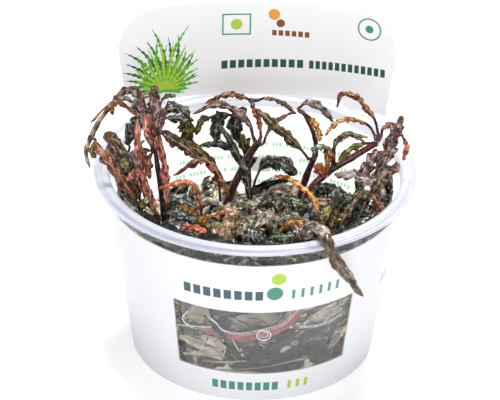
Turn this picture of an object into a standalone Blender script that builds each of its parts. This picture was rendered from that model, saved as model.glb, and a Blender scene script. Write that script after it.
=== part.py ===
"""A small clear cup of tissue-grown water plants in a white card sleeve with a tall back.

The cup is a thin tapered tub with a stepped rim. Its lower part holds a clear jelly, and on that lies
a bed of tangled lower leaves. Four stems rise from the bed, and each large leaf is a piece of its own.
The part stands on the tub's flat foot: the origin is the middle of the underside, +Z is up, and the
sleeve's window faces -Y.
"""

import math
import random
from collections import namedtuple

import bmesh
import bpy
from mathutils import Vector

MM = 0.001  # every length below is in millimetres

# Clear tub
RIM_RADIUS = 52.5
OPENING_RADIUS = 47.3
RIM_TOP = 63.7
FLANGE_TOP = 63.25
SKIRT_BOTTOM = 61.2
WALL = 0.8
FLOOR_TOP = 1.2
TUB_SIDES = 36

# Card sleeve
CARD = 0.45
CARD_GAP = 0.35
CARD_FOOT_RADIUS = 39.4
CARD_SLOPE = 0.1484
SLEEVE_TOP = 55.6
WINDOW_BOTTOM = 11.3
WINDOW_TOP = 36.8
WINDOW_LEFT = -35.0  # degrees from the front, towards +X
WINDOW_RIGHT = 45.5
BULGE_START = 30.0  # height where the back of the card begins to leave the tub
SLIT_BOTTOM = 60.7
SLIT_TOP = 64.1
SLIT_HALF = 28.5
HEADER_HALF = 43.0
HEADER_BACK = 48.8  # front face of the header behind the rim
HEADER_BEND = 98.0  # radius of its plan curve
HEADER_LEAN = 0.14
HEADER_TOP = 96.6
HEADER_FLARE = 0.0035  # the header widens by this share of itself for each millimetre up

# Jelly and leaf bed
JELLY_TOP = 14.0
BED_BOTTOM = 14.4
BED_FRONT = 50.0
BED_BACK = 30.0
BED_CLEARANCE = 1.4
SOCKET_GAP = 0.55
ROOTED_BELOW = 51.0  # stems and leaves with a foot lower than this are rooted in the bed

COLOURS = {
    "clear": (0.86, 0.9, 0.93),
    "card": (0.9, 0.9, 0.89),
    "jelly": (0.75, 0.72, 0.6),
    "maroon": (0.16, 0.045, 0.04),
    "bronze": (0.17, 0.12, 0.085),
    "dark": (0.06, 0.065, 0.045),
    "grey": (0.3, 0.27, 0.22),
    "olive": (0.22, 0.2, 0.06),
    "rust": (0.36, 0.12, 0.06),
    "coral": (0.6, 0.2, 0.13),
    "pink": (0.42, 0.16, 0.14),
    "orange": (0.55, 0.25, 0.07),
    "green": (0.12, 0.2, 0.09),
}

# Leaves
STALK_WIDTH = 0.9
BLADE_THICKNESS = 0.42  # from the middle plane to either face, at the midrib
NOTCH = 0.55  # width of a blade between two lobes, as a share of the width at a lobe
LOBE_LEAN = 0.35  # a lobe points forward by this share of its length
BLADE_SAG = 0.22  # and hangs by this share

Leaf = namedtuple("Leaf", "name colour width lobes face stalk spine")

# Each spine runs from the leaf's foot to its tip. The face is the side that its upper surface turns to,
# and the stalk is the share of the spine that has no blade.
LEAVES = [
    Leaf("leaf_left_arch", "bronze", 4.4, 5, (0, -1, 1), 0.16,
         [(-34, 0, 81.5), (-37.5, 2.5, 87.6), (-42, 6.5, 88.3), (-47, 10, 81.8)]),
    Leaf("leaf_left_upright", "bronze", 4.4, 4, (0, -1, 0), 0.16,
         [(-32.5, -1, 80.5), (-32.5, 1, 85.5), (-33.5, 4, 91.5)]),
    Leaf("leaf_left_red", "rust", 2.6, 5, (0, -1, 2), 0.16,
         [(-35, -3, 81), (-40.5, -2, 85.8), (-46, -5, 90), (-53, -9.5, 85)]),
    Leaf("leaf_left_drooping", "grey", 3.4, 5, (-1, -1, 1), 0.2,
         [(-35.5, 2, 81), (-40, 4, 85), (-44.5, 4, 86.5),
          (-50, 0, 81.5), (-54.7, -5, 73.5), (-53.3, -7, 66.5)]),
    Leaf("leaf_left_broad", "grey", 7.0, 5, (0, -1, 1), 0.3,
         [(-33, -9, 44), (-36.5, -8, 54), (-39.5, -7, 62), (-43, -5.5, 71), (-48.5, -3, 78)]),
    Leaf("leaf_left_brown", "rust", 4.4, 5, (0, -1, 1), 0.3,
         [(-32, -16, 45), (-36.5, -15.5, 56), (-41, -14, 64), (-46.5, -12.5, 71.5), (-52, -10, 79)]),
    Leaf("leaf_left_pink", "pink", 4.0, 6, (0, -1, 0), 0.24,
         [(-29, -16, 45), (-31.5, -15, 54), (-35, -13, 61), (-37, -12, 71.7), (-38, -9, 86.4)]),
    Leaf("leaf_left_rose", "pink", 3.4, 6, (1, -2, 0), 0.24,
         [(-27, -14, 46), (-28, -12.5, 56), (-28.5, -10, 64), (-30, -7, 73), (-34, -5, 84)]),
    Leaf("leaf_left_green", "dark", 4.6, 4, (0, -1, 0), 0.16,
         [(-35.5, 0, 77.5), (-38, 3, 77), (-40, 4, 74), (-41.5, 5, 68.5)]),
    Leaf("leaf_bridge_dark", "dark", 3.2, 4, (0, -1, 2), 0.16,
         [(-31, 0.5, 80), (-29.5, 2, 83), (-27, 3, 85), (-23.6, 4, 83.2)]),
    Leaf("leaf_hanging_olive", "olive", 5.0, 5, (0, -1, 0), 0.16,
         [(-23, 6.3, 81.3), (-22.5, 6.5, 75), (-22, 6.5, 68.5)]),
    Leaf("leaf_long_olive", "olive", 3.2, 6, (0, -1, 1), 0.25,
         [(-11.2, 2, 50), (-12.5, 2.3, 60), (-17, 3, 67), (-24, 3, 71.5), (-31, 2, 76)]),
    Leaf("leaf_red_arch", "rust", 3.4, 6, (0, -1, 2), 0.3,
         [(-6.5, -4.5, 42), (-8, -4, 53), (-11, -4, 61.5), (-17, -4, 69), (-26.5, -6, 64)]),
    Leaf("leaf_coral_arch", "coral", 3.0, 5, (0, -1, 2), 0.4,
         [(-16.5, -17.5, 45), (-17, -17, 54), (-18, -16, 62), (-21.5, -15, 67), (-31.5, -17, 65.5)]),
    Leaf("leaf_red_lobed", "coral", 4.4, 4, (0, -1, 2), 0.3,
         [(-13.5, -26.5, 48), (-15, -26.5, 54), (-19, -26, 56.5), (-23.5, -26.5, 55)]),
    Leaf("leaf_centre_arch", "bronze", 3.0, 6, (0, -1, 2), 0.16,
         [(-1, 7, 71.5), (-2, 7, 75.5), (-6, 8.5, 79.5), (-13, 11, 81.2), (-21, 14, 75.5)]),
    Leaf("leaf_centre_orange", "rust", 2.8, 6, (0, -1, 1), 0.16,
         [(-2, 10, 83.3), (-5, 10, 84.7), (-10, 14, 83.2), (-17, 17, 77.7)]),
    Leaf("leaf_centre_twisted", "coral", 3.0, 4, (1, -1, 0), 0.16,
         [(1.5, 7.5, 71.2), (1, 8, 76.5), (-1.5, 8, 82)]),
    Leaf("leaf_long_dark", "dark", 3.2, 6, (1, -2, 1), 0.24,
         [(-1.5, -2, 41), (-2, -1, 52), (-3, 1, 61), (-7.5, 1.5, 71), (-12, 0, 80)]),
    Leaf("leaf_glossy_drooping", "dark", 4.6, 4, (0, -1, 0), 0.3,
         [(-0.8, 9.7, 69.5), (-3, 12, 75), (-5.5, 12, 77), (-7, 11, 73), (-6, 11, 67)]),
    Leaf("leaf_glossy_side", "dark", 4.8, 4, (0, -1, 0), 0.3,
         [(-4, 10, 75.5), (-9, 9.5, 78), (-12.5, 8.5, 75), (-13.5, 7.5, 69.5)]),
    Leaf("leaf_small_olive", "olive", 2.8, 3, (0, -1, 0), 0.3,
         [(-11, 11.5, 77.5), (-15.5, 14.5, 74), (-18, 15.5, 72), (-19.5, 15, 67)]),
    Leaf("leaf_back_olive", "olive", 4.6, 4, (0, -1, 0), 0.45,
         [(-1, 12, 34), (-1.5, 14, 47), (-2, 15, 56), (-3.5, 15.5, 62), (-6, 16, 67.5)]),
    Leaf("leaf_dark_level", "dark", 3.2, 6, (0, -1, 3), 0.16,
         [(-4.2, 8.6, 62.6), (-9, 10, 66), (-15.5, 13, 65.3), (-20, 14, 62.6)]),
    Leaf("leaf_bronze_bow", "bronze", 3.0, 6, (0, -1, 3), 0.16,
         [(0.5, 12, 82.3), (3.5, 12, 83.3), (8.5, 15, 80), (13, 16, 75.1)]),
    Leaf("leaf_large_bronze", "bronze", 4.8, 6, (1, -2, 1), 0.16,
         [(17, 2, 66.5), (12.5, 2.5, 72.2), (6, 0.5, 79.5), (-0.5, -2, 87)]),
    Leaf("leaf_side_stalk", "bronze", 2.0, 4, (0, -1, 0), 0.16,
         [(2.5, 8.5, 68.5), (4, 9.5, 72.5), (8, 10, 77), (12.3, 9.5, 79.5)]),
    Leaf("leaf_dark_low_bow", "dark", 4.8, 5, (0, -1, 1), 0.35,
         [(-1.5, 9, 35), (-1, 9.5, 49), (2, 10, 58.5), (6, 10, 60.8), (10, 8, 60.5), (13.5, 7, 57.5)]),
    Leaf("leaf_grey_bow", "grey", 3.2, 6, (0, -1, 2), 0.16,
         [(13.5, 8.5, 81.5), (16.5, 9, 83.5), (21.5, 11, 80), (25, 12, 74.6)]),
    Leaf("leaf_orange_lobed", "orange", 3.2, 5, (0, -1, 1), 0.16,
         [(15.3, 3.5, 82.5), (18, 3, 80.3), (20, 0, 78), (20.5, -2, 75.2)]),
    Leaf("leaf_orange_wave", "orange", 3.0, 7, (0, -1, 2), 0.25,
         [(38.4, 5, 73.6), (36.5, 6, 76.7), (33, 5.5, 79),
          (28.3, 2.5, 81.3), (24, -0.5, 80), (22.2, -3, 78)]),
    Leaf("leaf_grey_wing", "grey", 3.2, 6, (0, -1, 2), 0.2,
         [(25.3, -1, 67), (25.5, -1.5, 74.5), (29, -3.5, 79.2), (36, -7, 79.8)]),
    Leaf("leaf_pale_fold", "green", 4.4, 4, (0, -1, 2), 0.25,
         [(24.2, -3.6, 65), (24.6, -5, 72), (21.5, -6, 76), (17.5, -7, 75)]),
    Leaf("leaf_olive_band", "olive", 2.8, 6, (0, -1, 2), 0.16,
         [(38.6, -0.6, 74.6), (33, -4, 75.5), (28.5, -5.5, 73), (25.5, -6.8, 67.8)]),
    Leaf("leaf_right_curled", "rust", 3.0, 7, (1, -1, 1), 0.16,
         [(39.3, 3.5, 75.2), (38, 6, 79.5), (35, 8, 82.8),
          (32.3, 10.5, 85), (27.7, 12, 85.2), (26, 13, 79.5)]),
    Leaf("leaf_right_brown", "rust", 3.0, 4, (0, -1, 1), 0.16,
         [(40.3, 4, 74.3), (41, 5.5, 76.5), (44, 7.5, 77), (47, 10, 73.6)]),
    Leaf("leaf_right_upright", "grey", 4.0, 5, (0, -1, 0), 0.5,
         [(34, -2, 41), (38, 0, 57), (41.5, 1, 69), (44.5, 2, 76), (47, 5, 81.6)]),
    Leaf("leaf_right_lobed", "bronze", 4.6, 5, (0, -1, 1), 0.4,
         [(33, -7, 43), (36, -6, 55), (38.5, -5.5, 64), (42, -5, 72), (45, -4, 79)]),
    Leaf("leaf_right_hanging", "coral", 3.0, 4, (0, -1, 0), 0.16,
         [(46.5, -5, 80), (48.3, -5.5, 76), (47.2, -6, 71)]),
    Leaf("leaf_right_tan", "grey", 4.6, 4, (0, -1, 2), 0.4,
         [(33, -11, 44), (36, -11, 57), (38.5, -10.5, 64), (42, -10, 69), (46, -9.5, 72)]),
    Leaf("leaf_right_pale", "grey", 4.2, 6, (0, -1, 2), 0.25,
         [(39.3, -15, 48), (41.5, -14.3, 61), (38.5, -13, 66.5), (31.5, -11.5, 69), (25, -10, 67.8)]),
    Leaf("leaf_right_rust", "rust", 4.8, 4, (0, -1, 1), 0.35,
         [(36, -22.5, 47), (38, -22, 58), (39, -20, 62.8), (37.5, -18.5, 65.5)]),
    Leaf("leaf_right_long_back", "grey", 3.8, 5, (-1, -1, 1), 0.3,
         [(25.5, -27.5, 47), (27, -26, 56), (29.5, -22.5, 62.5), (33, -18, 66.5)]),
    Leaf("leaf_right_long_front", "dark", 3.8, 5, (-1, -1, 1), 0.3,
         [(30, -29, 48), (31, -28, 56), (33.2, -25.5, 61.5), (35, -23, 65)]),
    Leaf("leaf_coral_tip", "coral", 3.2, 7, (0, -1, 2), 0.25,
         [(20.6, -29.5, 47), (20.6, -27.5, 58.5), (19, -22, 65),
          (15, -18, 67.5), (9.5, -15, 69.5), (5.5, -14, 69)]),
    Leaf("leaf_pale_long", "grey", 4.2, 6, (0, -1, 3), 0.25,
         [(8.5, -13, 44), (5, -13, 55), (-4, -14, 59.5), (-11, -16, 57.5)]),
    Leaf("leaf_veined_left", "grey", 5.0, 5, (0, -1, 2), 0.25,
         [(6, -21.5, 46), (4, -22.5, 56), (-1.5, -26, 59.5), (-5.5, -31, 57)]),
    Leaf("leaf_veined_right", "grey", 5.0, 5, (0, -1, 2), 0.25,
         [(7, -27.5, 48), (6, -26.2, 56.5), (10, -25, 61), (16, -25, 59.5)]),
    Leaf("leaf_yellow_lobed", "orange", 3.4, 5, (0, -1, 2), 0.3,
         [(5.5, -32, 48), (7.5, -31.7, 58.5), (12, -31, 62.5), (17, -31.5, 61.5)]),
    Leaf("leaf_crumpled_tan", "grey", 5.4, 5, (0, -1, 1), 0.3,
         [(-3.5, -18, 46), (-4.5, -19.5, 57), (-7.5, -23, 60), (-10, -30.5, 54)]),
    Leaf("leaf_yellow_olive", "olive", 4.4, 3, (-1, -1, 1), 0.35,
         [(23.3, -31.5, 48), (24, -30, 57.5), (25, -28.5, 62), (26.3, -27.5, 64.8)]),
    Leaf("leaf_over_rim", "grey", 5.0, 6, (0, -2, 1), 0.12,
         [(17, -30, 48), (18.3, -31, 58), (20, -38.5, 64.8), (22.1, -48, 65.6),
          (26, -49.5, 58.7), (30.5, -46, 50), (34.8, -42.7, 42.3)]),
]

Stem = namedtuple("Stem", "name foot_width tip_width path")

STEMS = [
    Stem("stem_left", 2.2, 1.3,
         [(-28, -11, 40), (-29.5, -8, 52), (-31.5, -5, 66), (-33.5, -2.5, 79)]),
    Stem("stem_centre", 3.0, 2.2,
         [(-11, 2, 36), (-8.5, 4, 50), (-3, 6, 63), (0.5, 6.5, 69.5)]),
    Stem("stem_inner_right", 2.4, 1.0,
         [(11, 4, 36), (16.5, 5, 58), (19.2, 5.5, 66), (19, 6, 72), (16.5, 6, 78.5), (14.5, 6, 81.8)]),
    Stem("stem_right", 2.7, 2.0,
         [(12, -4, 38), (17, -3, 56), (23, -1, 63), (30.5, 1, 67.5), (39, 2, 73)]),
]


def material(name):
    """Return the plain finish of one colour, made once."""
    finish = bpy.data.materials.get(name)
    if finish is None:
        finish = bpy.data.materials.new(name)
        finish.use_nodes = True
        shader = finish.node_tree.nodes["Principled BSDF"]
        shader.inputs["Base Color"].default_value = (*COLOURS[name], 1)
        shader.inputs["Roughness"].default_value = 0.3 if name in ("clear", "jelly") else 0.55
        shader.inputs["Metallic"].default_value = 0
    return finish


def add_piece(name, colour, points, faces):
    """Make one object from points in millimetres and faces, with its faces turned outwards."""
    mesh = bpy.data.meshes.new(name)
    mesh.from_pydata([Vector(p) * MM for p in points], [], faces)
    shape = bmesh.new()
    shape.from_mesh(mesh)
    bmesh.ops.triangulate(shape, faces=shape.faces)
    bmesh.ops.recalc_face_normals(shape, faces=shape.faces)
    shape.to_mesh(mesh)
    shape.free()
    mesh.materials.append(material(colour))
    mesh.shade_smooth()
    mesh.set_sharp_from_angle(angle=math.radians(35))
    piece = bpy.data.objects.new(name, mesh)
    bpy.context.scene.collection.objects.link(piece)
    return piece


def along(path, share):
    """Return the point at a share of the way along a smooth curve through the path's points."""
    spans = len(path) - 1
    place = min(share * spans, spans - 1e-6)
    index = int(place)
    t = place - index
    p1 = Vector(path[index])
    p2 = Vector(path[index + 1])
    p0 = Vector(path[index - 1]) if index > 0 else 2 * p1 - p2
    p3 = Vector(path[index + 2]) if index + 2 <= spans else 2 * p2 - p1
    return 0.5 * (
        2 * p1 + (p2 - p0) * t + (2 * p0 - 5 * p1 + 4 * p2 - p3) * t**2 + (3 * p1 - p0 - 3 * p2 + p3) * t**3
    )


def direction(path, share):
    """Return the unit vector along the curve at a share of its way."""
    step = 0.02
    return (along(path, min(share + step, 1)) - along(path, max(share - step, 0))).normalized()


def ring_faces(rings, sides):
    """Return the quads that join rings of equal count, numbered one ring after the other."""
    faces = []
    for ring in range(rings - 1):
        for side in range(sides):
            a = ring * sides + side
            b = ring * sides + (side + 1) % sides
            faces.append((a, b, b + sides, a + sides))
    return faces


def blade_width(t):
    """Return the half width of a blade's outline before its lobes, as a share of the widest."""
    return 0.22 + 0.78 * math.sin(math.pi * min(t * 0.9 + 0.1, 1)) ** 0.6


def add_leaf(leaf):
    """Make a leaf as a thin closed blade with lobes on both sides of its spine."""
    blade_steps = 2 * leaf.lobes
    stalk_steps = max(1, round(leaf.stalk * blade_steps))
    steps = stalk_steps + blade_steps
    points = [along(leaf.spine, 0)]
    for step in range(1, steps + 1):
        t = (step - stalk_steps) / (blade_steps + 1)
        share = leaf.stalk + t * (1 - leaf.stalk) if t > 0 else leaf.stalk * step / stalk_steps
        centre = along(leaf.spine, share)
        heading = direction(leaf.spine, share)
        side = heading.cross(Vector(leaf.face)).normalized()
        up = side.cross(heading)
        in_lobe = t > 0 and (step - stalk_steps) % 2 == 0
        lobe = 1.0 if in_lobe else NOTCH
        half = 0.5 * leaf.width * blade_width(t) * lobe if t > 0 else 0.5 * STALK_WIDTH
        lean = heading * (LOBE_LEAN * half if in_lobe else 0)
        sag = up * (-BLADE_SAG * half)
        points.append(centre - side * half + lean + sag)
        points.append(centre + up * BLADE_THICKNESS)
        points.append(centre + side * half + lean + sag)
        points.append(centre - up * BLADE_THICKNESS)
    points.append(along(leaf.spine, 1))
    faces = [tuple(i + 1 for i in face) for face in ring_faces(steps, 4)]
    last = len(points) - 1
    for side in range(4):
        following = (side + 1) % 4
        faces.append((0, 1 + following, 1 + side))
        faces.append((last, last - 4 + side, last - 4 + following))
    return add_piece(leaf.name, leaf.colour, points, faces)


def add_stem(stem):
    """Make a stem as a tapered rod with a low swelling at each leaf joint."""
    sides = 8
    rings = 4 * (len(stem.path) - 1)
    points = []
    for ring in range(rings + 1):
        share = ring / rings
        centre = along(stem.path, share)
        heading = direction(stem.path, share)
        side = heading.cross(Vector((0, -1, 0.3))).normalized()
        up = side.cross(heading)
        swelling = 1.14 if ring % 4 == 0 else 1.0
        radius = 0.5 * swelling * (stem.foot_width + (stem.tip_width - stem.foot_width) * share)
        for corner in range(sides):
            angle = 2 * math.pi * corner / sides
            points.append(centre + radius * (math.cos(angle) * side + math.sin(angle) * up))
    faces = ring_faces(rings + 1, sides)
    faces.append(tuple(range(sides)))
    faces.append(tuple(rings * sides + corner for corner in range(sides)))
    return add_piece(stem.name, "maroon", points, faces)


def add_turned(name, colour, profile, sides):
    """Turn a profile of radius and height round Z. It starts and ends on the axis."""
    points = [(0, 0, profile[0][1])]
    for radius, height in profile[1:-1]:
        for side in range(sides):
            angle = 2 * math.pi * side / sides
            points.append((radius * math.sin(angle), -radius * math.cos(angle), height))
    points.append((0, 0, profile[-1][1]))
    rings = len(profile) - 2
    faces = [tuple(i + 1 for i in face) for face in ring_faces(rings, sides)]
    last = len(points) - 1
    for side in range(sides):
        following = (side + 1) % sides
        faces.append((0, 1 + side, 1 + following))
        faces.append((last, last - sides + following, last - sides + side))
    return add_piece(name, colour, points, faces)


def card_radius(height):
    """Return the radius of the sleeve's outer face where it hugs the tub."""
    return CARD_FOOT_RADIUS + CARD_SLOPE * height


def tub_outer(height):
    return card_radius(height) - CARD - CARD_GAP


def tub_inner(height):
    return tub_outer(height) - WALL


def add_tub():
    """Make the clear tub: flat foot, tapered wall and stepped rim with a short skirt."""
    profile = [
        (0, 0),
        (37.4, 0),
        (tub_outer(1.2), 1.2),
        (tub_outer(60.2), 60.2),
        (48.3, 61.9),
        (51.5, 62.1),
        (51.7, SKIRT_BOTTOM),
        (52.3, SKIRT_BOTTOM),
        (RIM_RADIUS, 62.9),
        (52.2, FLANGE_TOP),
        (50.1, FLANGE_TOP),
        (49.6, RIM_TOP),
        (48.0, RIM_TOP),
        (OPENING_RADIUS, 63.2),
        (tub_inner(60.2), 60.2),
        (tub_inner(2.0), 2.0),
        (36.4, FLOOR_TOP),
        (0, FLOOR_TOP),
    ]
    return add_turned("clear_tub", "clear", profile, TUB_SIDES)


def add_jelly():
    """Make the clear growing jelly that fills the bottom of the tub."""
    gap = 0.3
    profile = [
        (0, FLOOR_TOP + gap),
        (35.6, FLOOR_TOP + gap),
        (tub_inner(2.4) - gap - 0.2, 2.6),
        (tub_inner(JELLY_TOP) - gap - 0.2, JELLY_TOP),
        (0, JELLY_TOP),
    ]
    return add_turned("growing_jelly", "jelly", profile, 32)


def header_depth(x, height):
    """Return Y of the header's front face."""
    return HEADER_BACK - x * x / (2 * HEADER_BEND) + HEADER_LEAN * (height - RIM_TOP)


def smooth(low, high, value):
    t = min(max((value - low) / (high - low), 0), 1)
    return t * t * (3 - 2 * t)


def wrap_point(turn, height, depth):
    """Return a point of the sleeve at an angle from the front; depth 0 is its inner face, 1 its outer."""
    from_back = 180 - abs(turn)
    edge_turn = math.degrees(math.atan2(HEADER_HALF, header_depth(HEADER_HALF, SLIT_BOTTOM)))
    hugging = card_radius(SLIT_BOTTOM) - CARD
    if from_back <= edge_turn:
        slope = math.tan(math.radians(from_back))
        y = HEADER_BACK + HEADER_LEAN * (SLIT_BOTTOM - RIM_TOP)
        if slope > 0.001:
            y = (math.sqrt(1 + 2 * slope**2 * y / HEADER_BEND) - 1) * HEADER_BEND / slope**2
        standing = y / math.cos(math.radians(from_back)) - hugging
    else:
        corner = math.hypot(HEADER_HALF, header_depth(HEADER_HALF, SLIT_BOTTOM)) - hugging
        standing = corner * (1 - smooth(edge_turn, 88, from_back))
    radius = card_radius(height) - CARD + smooth(BULGE_START, SLIT_BOTTOM, height) * standing + CARD * depth
    angle = math.radians(turn)
    return (radius * math.sin(angle), -radius * math.cos(angle), height)


def header_point(share, height, depth):
    """Return a point of the header; share runs from -1 at its left edge to 1 at its right edge."""
    x = share * HEADER_HALF * (1 + HEADER_FLARE * (height - SLIT_TOP))
    return (x, header_depth(x, height) + CARD * depth, height)


def header_edge(share):
    """Return the height of the header's top edge, which has round corners."""
    corner = 15.0
    inset = (1 - abs(share)) * HEADER_HALF * 1.1
    if inset >= corner:
        return HEADER_TOP
    return HEADER_TOP - corner + math.sqrt(corner**2 - (corner - inset) ** 2)


def spread(first, last, steps):
    """Return the starts of equal steps from first to last."""
    return [first + (last - first) * step / steps for step in range(steps)]


def add_card():
    """Make the sleeve and its header as one sheet with a window in front and a slit behind the rim."""
    shares = [0, 0.22, 0.44, SLIT_HALF / HEADER_HALF, 0.82, 0.91, 0.97, 1]
    shares = [-s for s in reversed(shares[1:])] + shares
    low_rows = [0, WINDOW_BOTTOM, WINDOW_TOP, 46, SLEEVE_TOP]
    climbs = [0, 0.45, 0.8, 1]
    corner_turn = 180 - math.degrees(math.atan2(HEADER_HALF, header_depth(HEADER_HALF, SLIT_BOTTOM)))
    turns = spread(-corner_turn, WINDOW_LEFT, 12) + spread(WINDOW_LEFT, WINDOW_RIGHT, 10)
    turns += spread(WINDOW_RIGHT, corner_turn, 11) + [corner_turn]
    right = len(turns) - 1
    header_share = {0: -1.0, right: 1.0}
    for share in reversed(shares[1:-1]):
        x = share * HEADER_HALF
        header_share[len(turns)] = share
        turns.append(math.degrees(math.atan2(x, -header_depth(x, SLIT_BOTTOM))))
    count = len(turns)
    points = []
    numbers = {}

    def number(column, row, depth):
        """Return the number of a grid point, made when it is first used."""
        key = (column, row, depth)
        if key not in numbers:
            if row < len(low_rows):
                point = wrap_point(turns[column], low_rows[row], depth)
            elif row == len(low_rows):
                point = wrap_point(turns[column], SLIT_BOTTOM, depth)
            else:
                share = header_share[column]
                climb = climbs[row - len(low_rows) - 1]
                height = SLIT_TOP + climb * (header_edge(share) - SLIT_TOP)
                point = header_point(share, height, depth)
            numbers[key] = len(points)
            points.append(point)
        return numbers[key]

    cells = set()
    for column in range(count):
        following = (column + 1) % count
        in_header = column >= right
        for row in range(4):
            in_window = row == 1 and WINDOW_LEFT - 0.1 < turns[column] < WINDOW_RIGHT - 0.1 and column < right
            if not in_window:
                cells.add((column, row))
        if in_header:
            middle = 0.5 * (header_share[column] + header_share[following])
            for row in range(4, 9):
                if row != 5 or abs(middle) * HEADER_HALF > SLIT_HALF:
                    cells.add((column, row))
    faces = []
    for column, row in cells:
        following = (column + 1) % count
        before = (column - 1) % count
        a, b = (column, row), (following, row)
        c, d = (following, row + 1), (column, row + 1)
        faces.append([number(*p, 1) for p in (a, b, c, d)])
        faces.append([number(*p, 0) for p in (d, c, b, a)])
        if (column, row - 1) not in cells:
            faces.append([number(*a, 0), number(*b, 0), number(*b, 1), number(*a, 1)])
        if (column, row + 1) not in cells:
            faces.append([number(*c, 0), number(*d, 0), number(*d, 1), number(*c, 1)])
        if (following, row) not in cells:
            faces.append([number(*b, 0), number(*c, 0), number(*c, 1), number(*b, 1)])
        if (before, row) not in cells:
            faces.append([number(*d, 0), number(*a, 0), number(*a, 1), number(*d, 1)])
    return add_piece("card_sleeve", "card", points, faces)


def bed_height(x, y):
    """Return the height of the leaf bed, which is high in front and low at the back."""
    share = smooth(-38, 34, y)
    lumps = 1.6 * math.sin(0.33 * x + 1.0) * math.cos(0.29 * y) + 1.2 * math.sin(0.21 * x - 0.37 * y)
    return BED_FRONT + (BED_BACK - BED_FRONT) * share + lumps


def add_bed(blocked):
    """Make the bed of lower leaves: a lumpy mound that stays clear of the tub and of the stems."""
    sides = 30
    rings = [0.22, 0.45, 0.68, 0.88, 1.0]
    random.seed(7)
    points = [(0, 0, bed_height(0, 0))]
    for ring in rings:
        for side in range(sides):
            angle = 2 * math.pi * (side + 0.5 * (rings.index(ring) % 2)) / sides
            guess = bed_height(42 * ring * math.sin(angle), -42 * ring * math.cos(angle))
            radius = ring * (tub_inner(guess) - BED_CLEARANCE)
            x, y = radius * math.sin(angle), -radius * math.cos(angle)
            height = bed_height(x, y) + random.uniform(-1.5, 1.5) - (3.0 if ring == 1.0 else 0)
            points.append((x, y, height))
    foot_radius = tub_inner(BED_BOTTOM) - BED_CLEARANCE
    for side in range(sides):
        angle = 2 * math.pi * side / sides
        points.append((foot_radius * math.sin(angle), -foot_radius * math.cos(angle), BED_BOTTOM))
    points.append((0, 0, BED_BOTTOM))
    count = len(rings) + 1
    faces = [tuple(i + 1 for i in face) for face in ring_faces(count, sides)]
    last = len(points) - 1
    for side in range(sides):
        following = (side + 1) % sides
        faces.append((0, 1 + side, 1 + following))
        faces.append((last, last - sides + following, last - sides + side))
    bed = add_piece("leaf_bed", "dark", points, faces)
    for piece in blocked:
        cutter = bpy.data.objects.new("socket_" + piece.name, piece.data.copy())
        grow(cutter.data, SOCKET_GAP)
        cutter.hide_render = True
        cutter.display_type = "WIRE"
        bpy.context.scene.collection.objects.link(cutter)
        cut = bed.modifiers.new("socket", "BOOLEAN")
        cut.object = cutter
        cut.operation = "DIFFERENCE"
    return bed


def grow(mesh, amount):
    """Push each point of a mesh out along its normal."""
    shape = bmesh.new()
    shape.from_mesh(mesh)
    shape.normal_update()
    moves = [vertex.normal * amount * MM for vertex in shape.verts]
    for vertex, move in zip(shape.verts, moves):
        vertex.co += move
    shape.to_mesh(mesh)
    shape.free()


def main():
    for old in list(bpy.data.objects):
        bpy.data.objects.remove(old, do_unlink=True)
    add_tub()
    add_card()
    add_jelly()
    plants = [add_stem(stem) for stem in STEMS] + [add_leaf(leaf) for leaf in LEAVES]
    rooted = [plant for plant in plants if min(v.co.z for v in plant.data.vertices) < ROOTED_BELOW * MM]
    add_bed(rooted)


main()
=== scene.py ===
# %% [markdown]
# # A cup of tissue-grown water plants
# The object is a clear tub, about as wide as a hand, in a white card sleeve with a tall back.
# Long lobed leaves on dark stems stand over its rim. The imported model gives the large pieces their
# places, so this lesson remakes their surfaces finely, adds what is too small to be a solid, and
# gives each piece its finish.

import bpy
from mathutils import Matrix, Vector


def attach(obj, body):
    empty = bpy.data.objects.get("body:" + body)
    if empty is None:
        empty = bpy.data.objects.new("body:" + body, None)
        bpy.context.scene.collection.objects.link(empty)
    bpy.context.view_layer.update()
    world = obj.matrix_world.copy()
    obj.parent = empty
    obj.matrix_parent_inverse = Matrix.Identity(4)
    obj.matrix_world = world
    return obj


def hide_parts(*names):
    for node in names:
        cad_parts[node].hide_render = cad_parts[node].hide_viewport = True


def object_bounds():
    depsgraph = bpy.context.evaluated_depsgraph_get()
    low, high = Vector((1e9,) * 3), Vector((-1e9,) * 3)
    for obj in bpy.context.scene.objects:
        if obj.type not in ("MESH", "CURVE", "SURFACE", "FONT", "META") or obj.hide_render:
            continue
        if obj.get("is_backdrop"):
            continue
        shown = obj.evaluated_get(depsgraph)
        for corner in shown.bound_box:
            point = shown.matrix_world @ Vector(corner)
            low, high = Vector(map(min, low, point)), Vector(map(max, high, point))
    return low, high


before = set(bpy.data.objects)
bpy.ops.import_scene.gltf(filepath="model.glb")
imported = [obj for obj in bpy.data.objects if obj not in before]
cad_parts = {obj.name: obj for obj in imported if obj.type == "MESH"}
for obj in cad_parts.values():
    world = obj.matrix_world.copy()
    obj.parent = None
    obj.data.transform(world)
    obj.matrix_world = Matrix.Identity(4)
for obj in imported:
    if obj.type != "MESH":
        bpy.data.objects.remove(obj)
cad_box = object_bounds()
print("solids:", len(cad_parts))

# %% Load the other tools
import math
import random
from collections import namedtuple

import bmesh
import bpy
import numpy as np
from mathutils import Matrix, Vector, geometry

# Lengths are in millimetres, as in a drawing, apart from those of a finish's texture, in metres.
MM = 0.001

# %% [markdown]
# ## A way to write materials
# A material is a net of nodes. Placing dozens of Math nodes by hand hides what they work out, so one
# small class wraps an output socket and lets Python's own signs add the nodes. Then `1 - mask` is a
# node too, and a finish reads like a sum.

# %% Wrap a socket


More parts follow.
